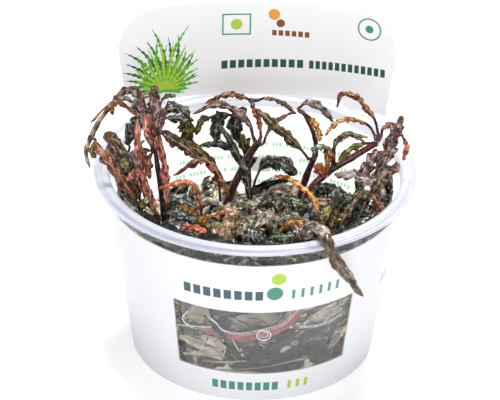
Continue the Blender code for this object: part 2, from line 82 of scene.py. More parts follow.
class Wire:
    """A value in a material's net. Sums on wires add Math or Vector Math nodes."""

    def __init__(self, tree, socket=None):
        self.tree = tree
        self.socket = socket

    def node(self, kind, settings=None, sockets=None, out=0):
        """Add a node: its settings first, then the values or links of its sockets; return one output."""
        made = self.tree.nodes.new(kind)
        for name, value in (settings or {}).items():
            if name == "stops":
                ramp = made.color_ramp
                while len(ramp.elements) < len(value):
                    ramp.elements.new(1.0)
                for element, (place, tint) in zip(ramp.elements, value):
                    element.position = place
                    element.color = (*tint, 1)
            else:
                setattr(made, name, value)
        for name, value in (sockets or {}).items():
            socket = made.inputs[name]
            if isinstance(value, Wire):
                self.tree.links.new(value.socket, socket)
            else:
                socket.default_value = value
        return Wire(self.tree, made.outputs[out])

    def sum(self, operation, first, second=None):
        """Add a Math node, or a Vector Math node where a vector takes part."""
        both = [value for value in (first, second) if value is not None]
        if any(isinstance(value, Wire) and value.socket.type == "VECTOR" for value in both):
            if operation == "MULTIPLY" and not isinstance(second, (Wire, tuple)):
                return self.node("ShaderNodeVectorMath", {"operation": "SCALE"}, {0: first, "Scale": second})
            return self.node("ShaderNodeVectorMath", {"operation": operation}, dict(enumerate(both)))
        return self.node("ShaderNodeMath", {"operation": operation}, dict(enumerate(both)))

    def __add__(self, other):
        return self.sum("ADD", self, other)

    __radd__ = __add__

    def __sub__(self, other):
        return self.sum("SUBTRACT", self, other)

    def __rsub__(self, other):
        return self.sum("SUBTRACT", other, self)

    def __mul__(self, other):
        return self.sum("MULTIPLY", self, other)

    __rmul__ = __mul__

    def __truediv__(self, other):
        return self.sum("DIVIDE", self, other)

    def __pow__(self, other):
        return self.sum("POWER", self, other)

    def __mod__(self, other):
        return self.sum("FLOORED_MODULO", self, other)

    def __lt__(self, other):
        return self.sum("LESS_THAN", self, other)

    def __gt__(self, other):
        return self.sum("GREATER_THAN", self, other)

    def __abs__(self):
        return self.sum("ABSOLUTE", self)

    def mix(self, first, second):
        """Blend two colours; this wire is the share of the second one."""
        settings = {"data_type": "RGBA", "clamp_factor": True}
        return self.node("ShaderNodeMix", settings, {0: self, 6: colour(first), 7: colour(second)}, out=2)


def colour(value):
    """What a colour socket takes: a wire as it is, or three numbers and a full alpha."""
    return value if isinstance(value, Wire) else (*value, 1)


# %% Name the nodes that finishes use often


def fade(value, low, high, start=0.0, end=1.0):
    """Follow a value: start where it is low, end where it is high, and a straight line between."""
    return value.node("ShaderNodeMapRange", {}, {0: value, 1: low, 2: high, 3: start, 4: end})


def own_place(net):
    """The place of a point on the object itself, in metres."""
    return net.node("ShaderNodeTexCoord", out=3)


def noise(net, place, scale, detail):
    """Soft uneven values round a half; the scale counts waves in a metre."""
    return net.node("ShaderNodeTexNoise", {}, {"Vector": place, "Scale": scale, "Detail": detail})


def bumps(height, strength, distance):
    """Bend the surface's normal as if it had this height, times a distance in metres."""
    return height.node("ShaderNodeBump", {}, {"Strength": strength, "Distance": distance, "Height": height})


def axis(place, number):
    """One of a place's three numbers."""
    return place.node("ShaderNodeSeparateXYZ", {}, {0: place}, out=number)


def whole(value):
    """The whole number below a value."""
    return value.sum("FLOOR", value)


# %% Start a finish and feed it


def new_finish(name):
    """Start a material: return it, its shader and an empty wire in its net."""
    material = bpy.data.materials.new(name)
    material.use_nodes = True
    return material, material.node_tree.nodes["Principled BSDF"], Wire(material.node_tree)


def feed(shader, **values):
    """Set or link the shader's sockets, whose names are written with _ for a space."""
    for name, value in values.items():
        socket = shader.inputs[name.replace("_", " ")]
        if isinstance(value, Wire):
            value.tree.links.new(value.socket, socket)
        else:
            socket.default_value = value


# %% [markdown]
# ## The camera
# The photograph looks down at the cup by about thirty degrees from more than a metre away, so the
# lens is long. The camera's three directions were fitted to the rim, the opening and the sleeve.

# %% Place the camera
CAMERA_AT = Vector((-7.257, -1151.785, 731.326))
CAMERA_RIGHT = Vector((0.99981956, 0.00577311, 0.01809766))
CAMERA_UP = Vector((-0.01852056, 0.50809447, 0.8611022))
LENS = 296.6
SENSOR = 36.0

camera_data = bpy.data.cameras.new("camera")
camera_data.lens = LENS
camera_data.sensor_width = SENSOR
camera_data.sensor_fit = "HORIZONTAL"
camera_data.clip_end = 10
camera = bpy.data.objects.new("camera", camera_data)
bpy.context.scene.collection.objects.link(camera)
turn = Matrix((CAMERA_RIGHT, CAMERA_UP, CAMERA_RIGHT.cross(CAMERA_UP))).transposed()
camera.matrix_world = Matrix.Translation(CAMERA_AT * MM) @ turn.to_4x4()
bpy.context.scene.camera = camera
print("camera", [round(value, 1) for value in CAMERA_AT], "lens", LENS)

# %% [markdown]
# ## Light and floor
# The real picture is a studio shot on white: soft light from all round, a bright front and no dark
# shadow. One soft lamp hangs overhead, a larger one stands in front and a third lights the leaves from
# behind. A weak one on each side adds glints to wet leaves and the clear rim, and a dim white world
# fills the shade. The floor glows a little, so that it stays white out to the picture's edge.

# %% Light the scene
scene = bpy.context.scene
scene.view_settings.view_transform = "Standard"
scene.view_settings.look = "None"
scene.view_settings.exposure = 0.0

world = bpy.data.worlds.new("studio")
scene.world = world
world.use_nodes = True
sky = world.node_tree.nodes["Background"]
sky.inputs["Color"].default_value = (0.97, 0.98, 1.0, 1)
sky.inputs["Strength"].default_value = 0.32


def add_lamp(name, place, aim, size, watts):
    """Add a square soft lamp at a place in millimetres, aimed at a point."""
    lamp = bpy.data.lights.new(name, "AREA")
    lamp.shape = "SQUARE"
    lamp.size = size * MM
    lamp.energy = watts
    holder = bpy.data.objects.new(name, lamp)
    scene.collection.objects.link(holder)
    holder.location = Vector(place) * MM
    holder.rotation_euler = (Vector(aim) - Vector(place)).to_track_quat("-Z", "Y").to_euler()


add_lamp("lamp_overhead", (-10, 40, 760), (0, 0, 40), 190, 4.5)
add_lamp("lamp_front", (-10, -700, 300), (0, 0, 30), 260, 1.9)
add_lamp("lamp_back", (120, 420, 560), (0, 0, 60), 160, 2.4)
add_lamp("lamp_left", (-600, -60, 330), (0, 0, 50), 160, 0.08)
add_lamp("lamp_right", (600, 120, 420), (0, 0, 50), 140, 0.12)

# %% Lay the floor
FLOOR_SIZE = 3000
FLOOR_DROP = 0.1

floor_mesh = bpy.data.meshes.new("floor")
corners = [(-0.5, -0.5), (0.5, -0.5), (0.5, 0.5), (-0.5, 0.5)]
spots = [(x * FLOOR_SIZE * MM, y * FLOOR_SIZE * MM, -FLOOR_DROP * MM) for x, y in corners]
floor_mesh.from_pydata(spots, [], [(0, 1, 2, 3)])
floor = bpy.data.objects.new("floor", floor_mesh)
scene.collection.objects.link(floor)
floor_finish, floor_shader, _ = new_finish("white_table")
feed(floor_shader, Base_Color=(0.95, 0.95, 0.95, 1), Roughness=0.6)
feed(floor_shader, Emission_Color=(1, 1, 1, 1), Emission_Strength=0.36)
floor_mesh.materials.append(floor_finish)
floor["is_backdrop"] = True
print("floor:", FLOOR_SIZE, "mm wide")

# %% [markdown]
# ## Curves and frames
# A leaf, a stem and a root all follow a smooth curve through a few points. One function walks that
# curve at many places at once; another gives each place a direction, a side and an up, so that a
# flat outline can be bent along it.

# %% Walk along a curve


def along(path, shares):
    """Points at shares of the way along a smooth curve through the path's points."""
    points = np.array(path, float)
    spans = len(points) - 1
    before = 2 * points[0] - points[1]
    after = 2 * points[-1] - points[-2]
    points = np.vstack([before, points, after])
    place = np.clip(np.asarray(shares, float) * spans, 0, spans - 1e-6)
    index = place.astype(int)
    t = (place - index)[:, None]
    p0, p1, p2, p3 = (points[index + step] for step in range(4))
    square, cube = 2 * p0 - 5 * p1 + 4 * p2 - p3, 3 * p1 - p0 - 3 * p2 + p3
    return 0.5 * (2 * p1 + (p2 - p0) * t + square * t**2 + cube * t**3)


def unit(vectors):
    return vectors / np.maximum(np.linalg.norm(vectors, axis=1, keepdims=True), 1e-9)


def frames(path, shares, face):
    """Centre, heading, side and up at each share; the face is the side that up turns to."""
    shares = np.asarray(shares, float)
    centre = along(path, shares)
    heading = unit(along(path, np.minimum(shares + 0.02, 1)) - along(path, np.maximum(shares - 0.02, 0)))
    side = unit(np.cross(heading, np.array(face, float)))
    return centre, heading, side, np.cross(side, heading)


def tube_faces(rings, sides, start=0):
    """Quads that join rings of equal count, and a cap at each end."""
    faces = []
    for ring in range(rings - 1):
        for corner in range(sides):
            a = start + ring * sides + corner
            b = start + ring * sides + (corner + 1) % sides
            faces.append((a, b, b + sides, a + sides))
    faces.append(tuple(start + corner for corner in reversed(range(sides))))
    faces.append(tuple(start + (rings - 1) * sides + corner for corner in range(sides)))
    return faces


# %% [markdown]
# ## Making a piece
# Each piece is a closed mesh in metres with smooth shading. It rides on the part's one body, takes its
# finishes as material slots, and hides the plain solid that it stands for.

# %% Make pieces from points and faces
made_pieces = []


def add_piece(name, points, faces, finishes, node=None, tags=None, marks=None, angle=40):
    """Make a piece from millimetre points.

    Tags are four numbers for each point, which a finish can read, and marks are the number of each
    face's finish. An edge stays sharp where its faces turn by more than the angle.
    """
    mesh = bpy.data.meshes.new(name)
    points = np.clip(np.asarray(points, float) * MM, *cad_box)
    mesh.from_pydata(points.tolist(), [], faces)
    for finish in finishes:
        mesh.materials.append(finish)
    if marks is not None:
        mesh.polygons.foreach_set("material_index", marks)
    if tags is not None:
        attribute = mesh.attributes.new("tag", "FLOAT_COLOR", "POINT")
        attribute.data.foreach_set("color", np.asarray(tags, np.float32).ravel())
    shape = bmesh.new()
    shape.from_mesh(mesh)
    bmesh.ops.recalc_face_normals(shape, faces=shape.faces)
    shape.to_mesh(mesh)
    shape.free()
    mesh.shade_smooth()
    mesh.set_sharp_from_angle(angle=math.radians(angle))
    piece = bpy.data.objects.new(name, mesh)
    scene.collection.objects.link(piece)
    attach(piece, "root")
    if node:
        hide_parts(node)
    made_pieces.append(piece)


def gather(skins):
    """Join many skins into one list of points, faces and tags."""
    points, faces, tags = [], [], []
    for skin_points, skin_faces, skin_tags in skins:
        start = sum(len(part) for part in points)
        points.append(skin_points)
        faces += [tuple(start + corner for corner in face) for face in skin_faces]
        tags.append(skin_tags)
    return np.vstack(points), faces, np.vstack(tags)


def add_gathered(name, skins, finish):
    """Make one piece of many skins."""
    points, faces, tags = gather(skins)
    add_piece(name, points, faces, [finish], tags=tags)
    print(name, len(skins), "skins,", len(points), "points")


# %% [markdown]
# ## Leaf finishes
# The leaves are thin, wet-looking and puckered between their veins. Their colour runs from bronze
# and olive to coral, and the veins are paler than the blade. The mesh carries three numbers at each
# point: how far it is from the midrib, how far along the blade, and how near to a side vein. The
# finish reads them, so the veins lie exactly on the modelled relief. A fourth number is the same all
# over a small leaf, and lets one finish give hundreds of them their own tints.

# %% Mix the leaf finish
STALK_RED = (0.09, 0.022, 0.016)


def leaf_tag(net):
    """A point's tag: how far across, how far along, how near a vein, and the leaf's own number."""
    tag = net.node("ShaderNodeAttribute", {"attribute_name": "tag"})
    parts = [net.node("ShaderNodeSeparateColor", {}, {0: tag}, out=number) for number in range(3)]
    return *parts, Wire(net.tree, tag.socket.node.outputs["Alpha"])


def leaf_streaks(net, across, ahead, number):
    """Uneven streaks that follow the blade, as its fine folds do; number makes each leaf differ."""
    place = net.node("ShaderNodeCombineXYZ", {}, {0: across * 4.0, 1: ahead * 9.0, 2: number * 50.0})
    return noise(net, place, 1.0, 3.0)


def leaf_finish(name, blade, mottle, vein, edge, mottling):
    """A leaf's finish from its face, mottle, vein and edge colours and how mottled it is, with painted light
    and shade on its folds and painted glints on their ridges.
    """
    material, shader, net = new_finish(name)
    across, ahead, vein_near, _ = leaf_tag(net)
    place = own_place(net)
    waves = noise(net, place, 560.0, 1.5)
    streaks = leaf_streaks(net, across, ahead, net.node("ShaderNodeObjectInfo", out=5))
    to_edge = {"feature": "DISTANCE_TO_EDGE"}
    cells = net.node("ShaderNodeTexVoronoi", to_edge, {"Vector": place, "Scale": 1000.0})
    network = fade(cells, 0.0, 0.16, 1.0, 0.0)
    folds = streaks * 0.6 + waves * 0.4
    patches = fade(folds, 0.48, 0.6)
    face = (patches * mottling).mix(blade, mottle)
    face = (network * (mottling * 0.6)).mix(face, mottle)
    face = fade(across, 0.65, 0.95, 0.0, 0.85).mix(face, edge)
    face = (vein_near * vein_near * 0.7).mix(face, vein)
    face = fade(ahead, 0.75, 1.0, 0.0, 0.6).mix(face, edge)
    face = fade(ahead, 0.0, 0.08, 1.0, 0.0).mix(face, STALK_RED)
    # Painted light and shade: the ridges of the folds are lightened and the hollows between them darkened.
    painted_fold_light = fade(folds, 0.4, 0.6, 0.25, 1.9)
    shade = net.node("ShaderNodeHueSaturation", {}, {"Value": painted_fold_light, "Color": face})
    # Painted glints: the highest ridges are lightened towards a pale tint of the mottle colour.
    painted_glint = fade(folds, 0.57, 0.64, 0.0, min(0.85, 1.6 * mottling))
    shade = painted_glint.mix(shade, tuple(0.4 + 0.5 * part for part in mottle))
    bump = bumps(streaks * 0.4 + waves * 0.8 - network * 0.2, 1.0, 0.0014)
    rough = fade(folds, 0.4, 0.6, 0.34, 0.12)
    feed(shader, Base_Color=shade, Roughness=rough, Normal=bump, Specular_IOR_Level=0.35)
    feed(shader, Coat_Weight=patches, Coat_Roughness=0.12)
    return material


# %% List the kinds of leaf
# The face, mottle, vein and edge colour of each kind of leaf, and how mottled it is. The mottle colour also
# tints the painted glints, and how mottled a leaf is sets how strong they are.
LEAF_COLOURS = {
    "bronze": ((0.03, 0.015, 0.009), (0.24, 0.115, 0.07), (0.62, 0.42, 0.26), (0.17, 0.045, 0.018), 0.5),
    "dark": ((0.006, 0.007, 0.003), (0.07, 0.07, 0.042), (0.45, 0.44, 0.3), (0.04, 0.033, 0.01), 0.5),
    "grey": ((0.045, 0.034, 0.018), (0.4, 0.32, 0.235), (0.72, 0.6, 0.44), (0.16, 0.07, 0.03), 0.6),
    "olive": ((0.04, 0.032, 0.003), (0.22, 0.16, 0.015), (0.55, 0.4, 0.08), (0.1, 0.06, 0.006), 0.5),
    "rust": ((0.08, 0.016, 0.006), (0.42, 0.13, 0.045), (0.65, 0.4, 0.18), (0.33, 0.05, 0.01), 0.5),
    "coral": ((0.45, 0.075, 0.025), (0.75, 0.25, 0.12), (0.85, 0.45, 0.26), (0.55, 0.08, 0.025), 0.4),
    "pink": ((0.14, 0.025, 0.02), (0.8, 0.3, 0.25), (0.8, 0.4, 0.16), (0.55, 0.13, 0.09), 0.9),
    "orange": ((0.22, 0.07, 0.005), (0.68, 0.3, 0.03), (0.85, 0.55, 0.14), (0.45, 0.09, 0.008), 0.5),
    "green": ((0.014, 0.022, 0.007), (0.24, 0.28, 0.16), (0.66, 0.68, 0.48), (0.05, 0.07, 0.02), 0.5),
    "umber": ((0.025, 0.017, 0.008), (0.24, 0.19, 0.12), (0.6, 0.45, 0.12), (0.26, 0.1, 0.05), 0.5),
    "dusk": ((0.05, 0.026, 0.02), (0.42, 0.3, 0.25), (0.72, 0.55, 0.45), (0.24, 0.08, 0.045), 0.6),
    "pale": ((0.2, 0.16, 0.14), (0.62, 0.54, 0.49), (0.8, 0.7, 0.6), (0.3, 0.16, 0.1), 0.8),
    "ember": ((0.25, 0.08, 0.005), (0.75, 0.36, 0.04), (0.9, 0.62, 0.16), (0.8, 0.12, 0.04), 0.5),
    "bark": ((0.11, 0.075, 0.045), (0.26, 0.19, 0.13), (0.3, 0.22, 0.15), (0.12, 0.06, 0.03), 0.12),
    "sage": ((0.06, 0.054, 0.026), (0.42, 0.39, 0.27), (0.85, 0.8, 0.56), (0.24, 0.15, 0.07), 0.6),
    "tan": ((0.16, 0.09, 0.04), (0.6, 0.44, 0.3), (0.9, 0.62, 0.12), (0.5, 0.18, 0.08), 0.9),
    "plum": ((0.04, 0.012, 0.014), (0.55, 0.31, 0.31), (0.7, 0.45, 0.4), (0.12, 0.03, 0.025), 0.8),
    # Slate's edge colour is near black, a painted shadow along each slate leaf's outline.
    "slate": ((0.024, 0.03, 0.022), (0.32, 0.34, 0.32), (0.4, 0.41, 0.34), (0.006, 0.006, 0.004), 0.5),
    "lime": ((0.4, 0.34, 0.06), (0.85, 0.8, 0.42), (0.85, 0.8, 0.3), (0.28, 0.2, 0.03), 0.5),
}
LEAF_FINISHES = {name: leaf_finish(name + "_leaf", *colours) for name, colours in LEAF_COLOURS.items()}
print("leaf finishes:", sorted(LEAF_FINISHES))

# %% [markdown]
# ## The leaves
# A leaf of this plant is a long strap cut into rounded lobes. Each one is built as a net of rows:
# every row crosses the blade from one edge to the other and is swept forward, so that a row through
# the middle of a lobe is also its side vein. Between the veins the net is puffed up, and the blade
# is folded a little along its midrib. Upper and lower side join at the edge into one closed skin.

# %% Shape one blade
STALK_WIDTH = 0.9
NOTCH = 0.55
LOBE_LEAN = 0.35
EDGE_SAG = 0.22


def smooth(low, high, value):
    t = np.clip((np.asarray(value, float) - low) / (high - low), 0, 1)
    return t * t * (3 - 2 * t)


def blade_width(t):
    """Half width of the outline before its lobes, as a share of the widest."""
    return 0.22 + 0.78 * np.sin(np.pi * np.minimum(t * 0.9 + 0.1, 1)) ** 0.6


def leaf_skin(
    spine,
    width,
    lobes,
    face,
    stalk,
    rows_per_lobe=10,
    columns=11,
    seed=0,
    pucker=0.22,
    thick=0.15,
    notch=NOTCH,
):
    """Points, faces and tags of one leaf."""
    # Rows follow each other up the leaf, and t runs from 0 to 1 along its blade.
    draw = random.Random(seed)
    stalk_rows = max(3, round(stalk * 14))
    blade_rows = lobes * rows_per_lobe + rows_per_lobe // 2
    t = np.concatenate([np.zeros(stalk_rows), np.linspace(0, 1, blade_rows)])
    stalk_shares = np.linspace(0, stalk, stalk_rows, endpoint=False)
    shares = np.concatenate([stalk_shares, stalk + t[stalk_rows:] * (1 - stalk)])
    centre, heading, side, up = frames(spine, shares, face)
    roll = math.radians(draw.uniform(-34, 34)) * np.sin(np.pi * shares * draw.uniform(0.8, 1.7))
    roll = roll[:, None]
    side, up = side * np.cos(roll) + up * np.sin(roll), up * np.cos(roll) - side * np.sin(roll)

    # A row goes over the upper side from edge to edge, where s is -1 and 1, and back underneath.
    columns_at = np.linspace(-1, 1, columns)
    under_at = columns_at[-2:0:-1]
    s = np.concatenate([columns_at, under_at])
    layer = np.concatenate([np.ones(columns), -np.ones(columns - 2)])
    s, layer = s[None, :], layer[None, :]

    # The lobes of the two sides differ in rhythm and size, and the edge is finely uneven.
    phase = t * (2 * lobes + 1) / 2
    warp = [draw.uniform(0, 6), draw.uniform(0, 6)]
    sides = [phase + draw.uniform(-0.12, 0.12) + 0.16 * np.sin(1.9 * phase + w) for w in warp]
    sizes = [1 + 0.2 * np.sin(2.6 * phase + 2 * w) for w in warp]
    side_phase = np.where(s < 0, sides[0][:, None], sides[1][:, None])
    side_size = np.where(s < 0, sizes[0][:, None], sizes[1][:, None])
    lobe = np.abs(np.cos(np.pi * side_phase)) ** 0.55
    fine_edge = 1 + 0.04 * np.sin(side_phase * 17.0 + seed) * smooth(0.75, 1, abs(s))
    growth = smooth(0, 0.14, t)[:, None]
    tip = np.sqrt(np.clip(1 - (np.clip((t - 0.9) / 0.1, 0, 1)) ** 2, 0.004, 1))[:, None]
    outline = 0.5 * width * blade_width(t)[:, None] * (notch + (1 - notch) * lobe)
    outline = outline * fine_edge * tip * side_size
    half = (1 - growth) * 0.5 * STALK_WIDTH + growth * outline

    # How far a point lies forward of its row and above the leaf's middle.
    reach = half * s
    lean = LOBE_LEAN * half * np.abs(s) ** 1.5 * growth * lobe
    fold = draw.uniform(0.1, 0.6)
    droop = EDGE_SAG + draw.uniform(0.0, 0.3) + fold
    curve = half * growth * (fold * abs(s) - droop * s**2)
    ripple = 0.24 * half * s**2 * np.sin(2 * np.pi * side_phase + draw.uniform(0, 6)) * growth
    between = np.abs(np.sin(np.pi * side_phase)) ** 0.7
    puff = pucker * between * np.sin(np.pi * np.abs(s) ** 0.8) ** 0.7 * growth
    crossed = np.sin(side_phase * 23 + s * 9 + seed) * np.sin(s * 13 - side_phase * 9)
    crinkle = 0.16 * pucker * crossed * growth
    round_off = np.sqrt(np.clip(1 - s**2, 0, 1))
    half_thick = (1 - growth) * 0.5 * STALK_WIDTH + growth * thick
    midrib = growth * 0.3 * np.exp(-((reach / 0.45) ** 2)) * np.where(layer < 0, 1.0, -0.35)
    raised = curve + ripple + puff + crinkle * growth + layer * half_thick * round_off + layer * midrib

    # Bend the blade along the spine, and tag each point for the finish.
    points = centre[:, None] + side[:, None] * reach[..., None]
    points = points + heading[:, None] * lean[..., None] + up[:, None] * raised[..., None]
    vein = np.exp(-((np.sin(np.pi * side_phase) * width / 2.2) ** 2) * 9) * (1 - 0.3 * abs(s))
    vein = np.maximum(vein, np.exp(-((reach / 0.32) ** 2))) * (0.35 + 0.65 * growth)
    tags = np.ones((*raised.shape, 4))
    tags[..., 0] = abs(s)
    tags[..., 1] = t[:, None]
    tags[..., 2] = vein
    faces = tube_faces(len(t), s.shape[1])
    return points.reshape(-1, 3), faces, tags.reshape(-1, 4)


# %% [markdown]
# ## The large leaves
# Each large leaf was followed in the photograph from its foot to its tip. Growing leaves by a rule
# would give a likely plant but another one, so their spines are a list. Depth isn't seen in a single
# picture: it was chosen so that every leaf arches as such leaves do and keeps clear of the others.

# %% List the large leaves
Leaf = namedtuple("Leaf", "name colour width lobes face stalk spine")

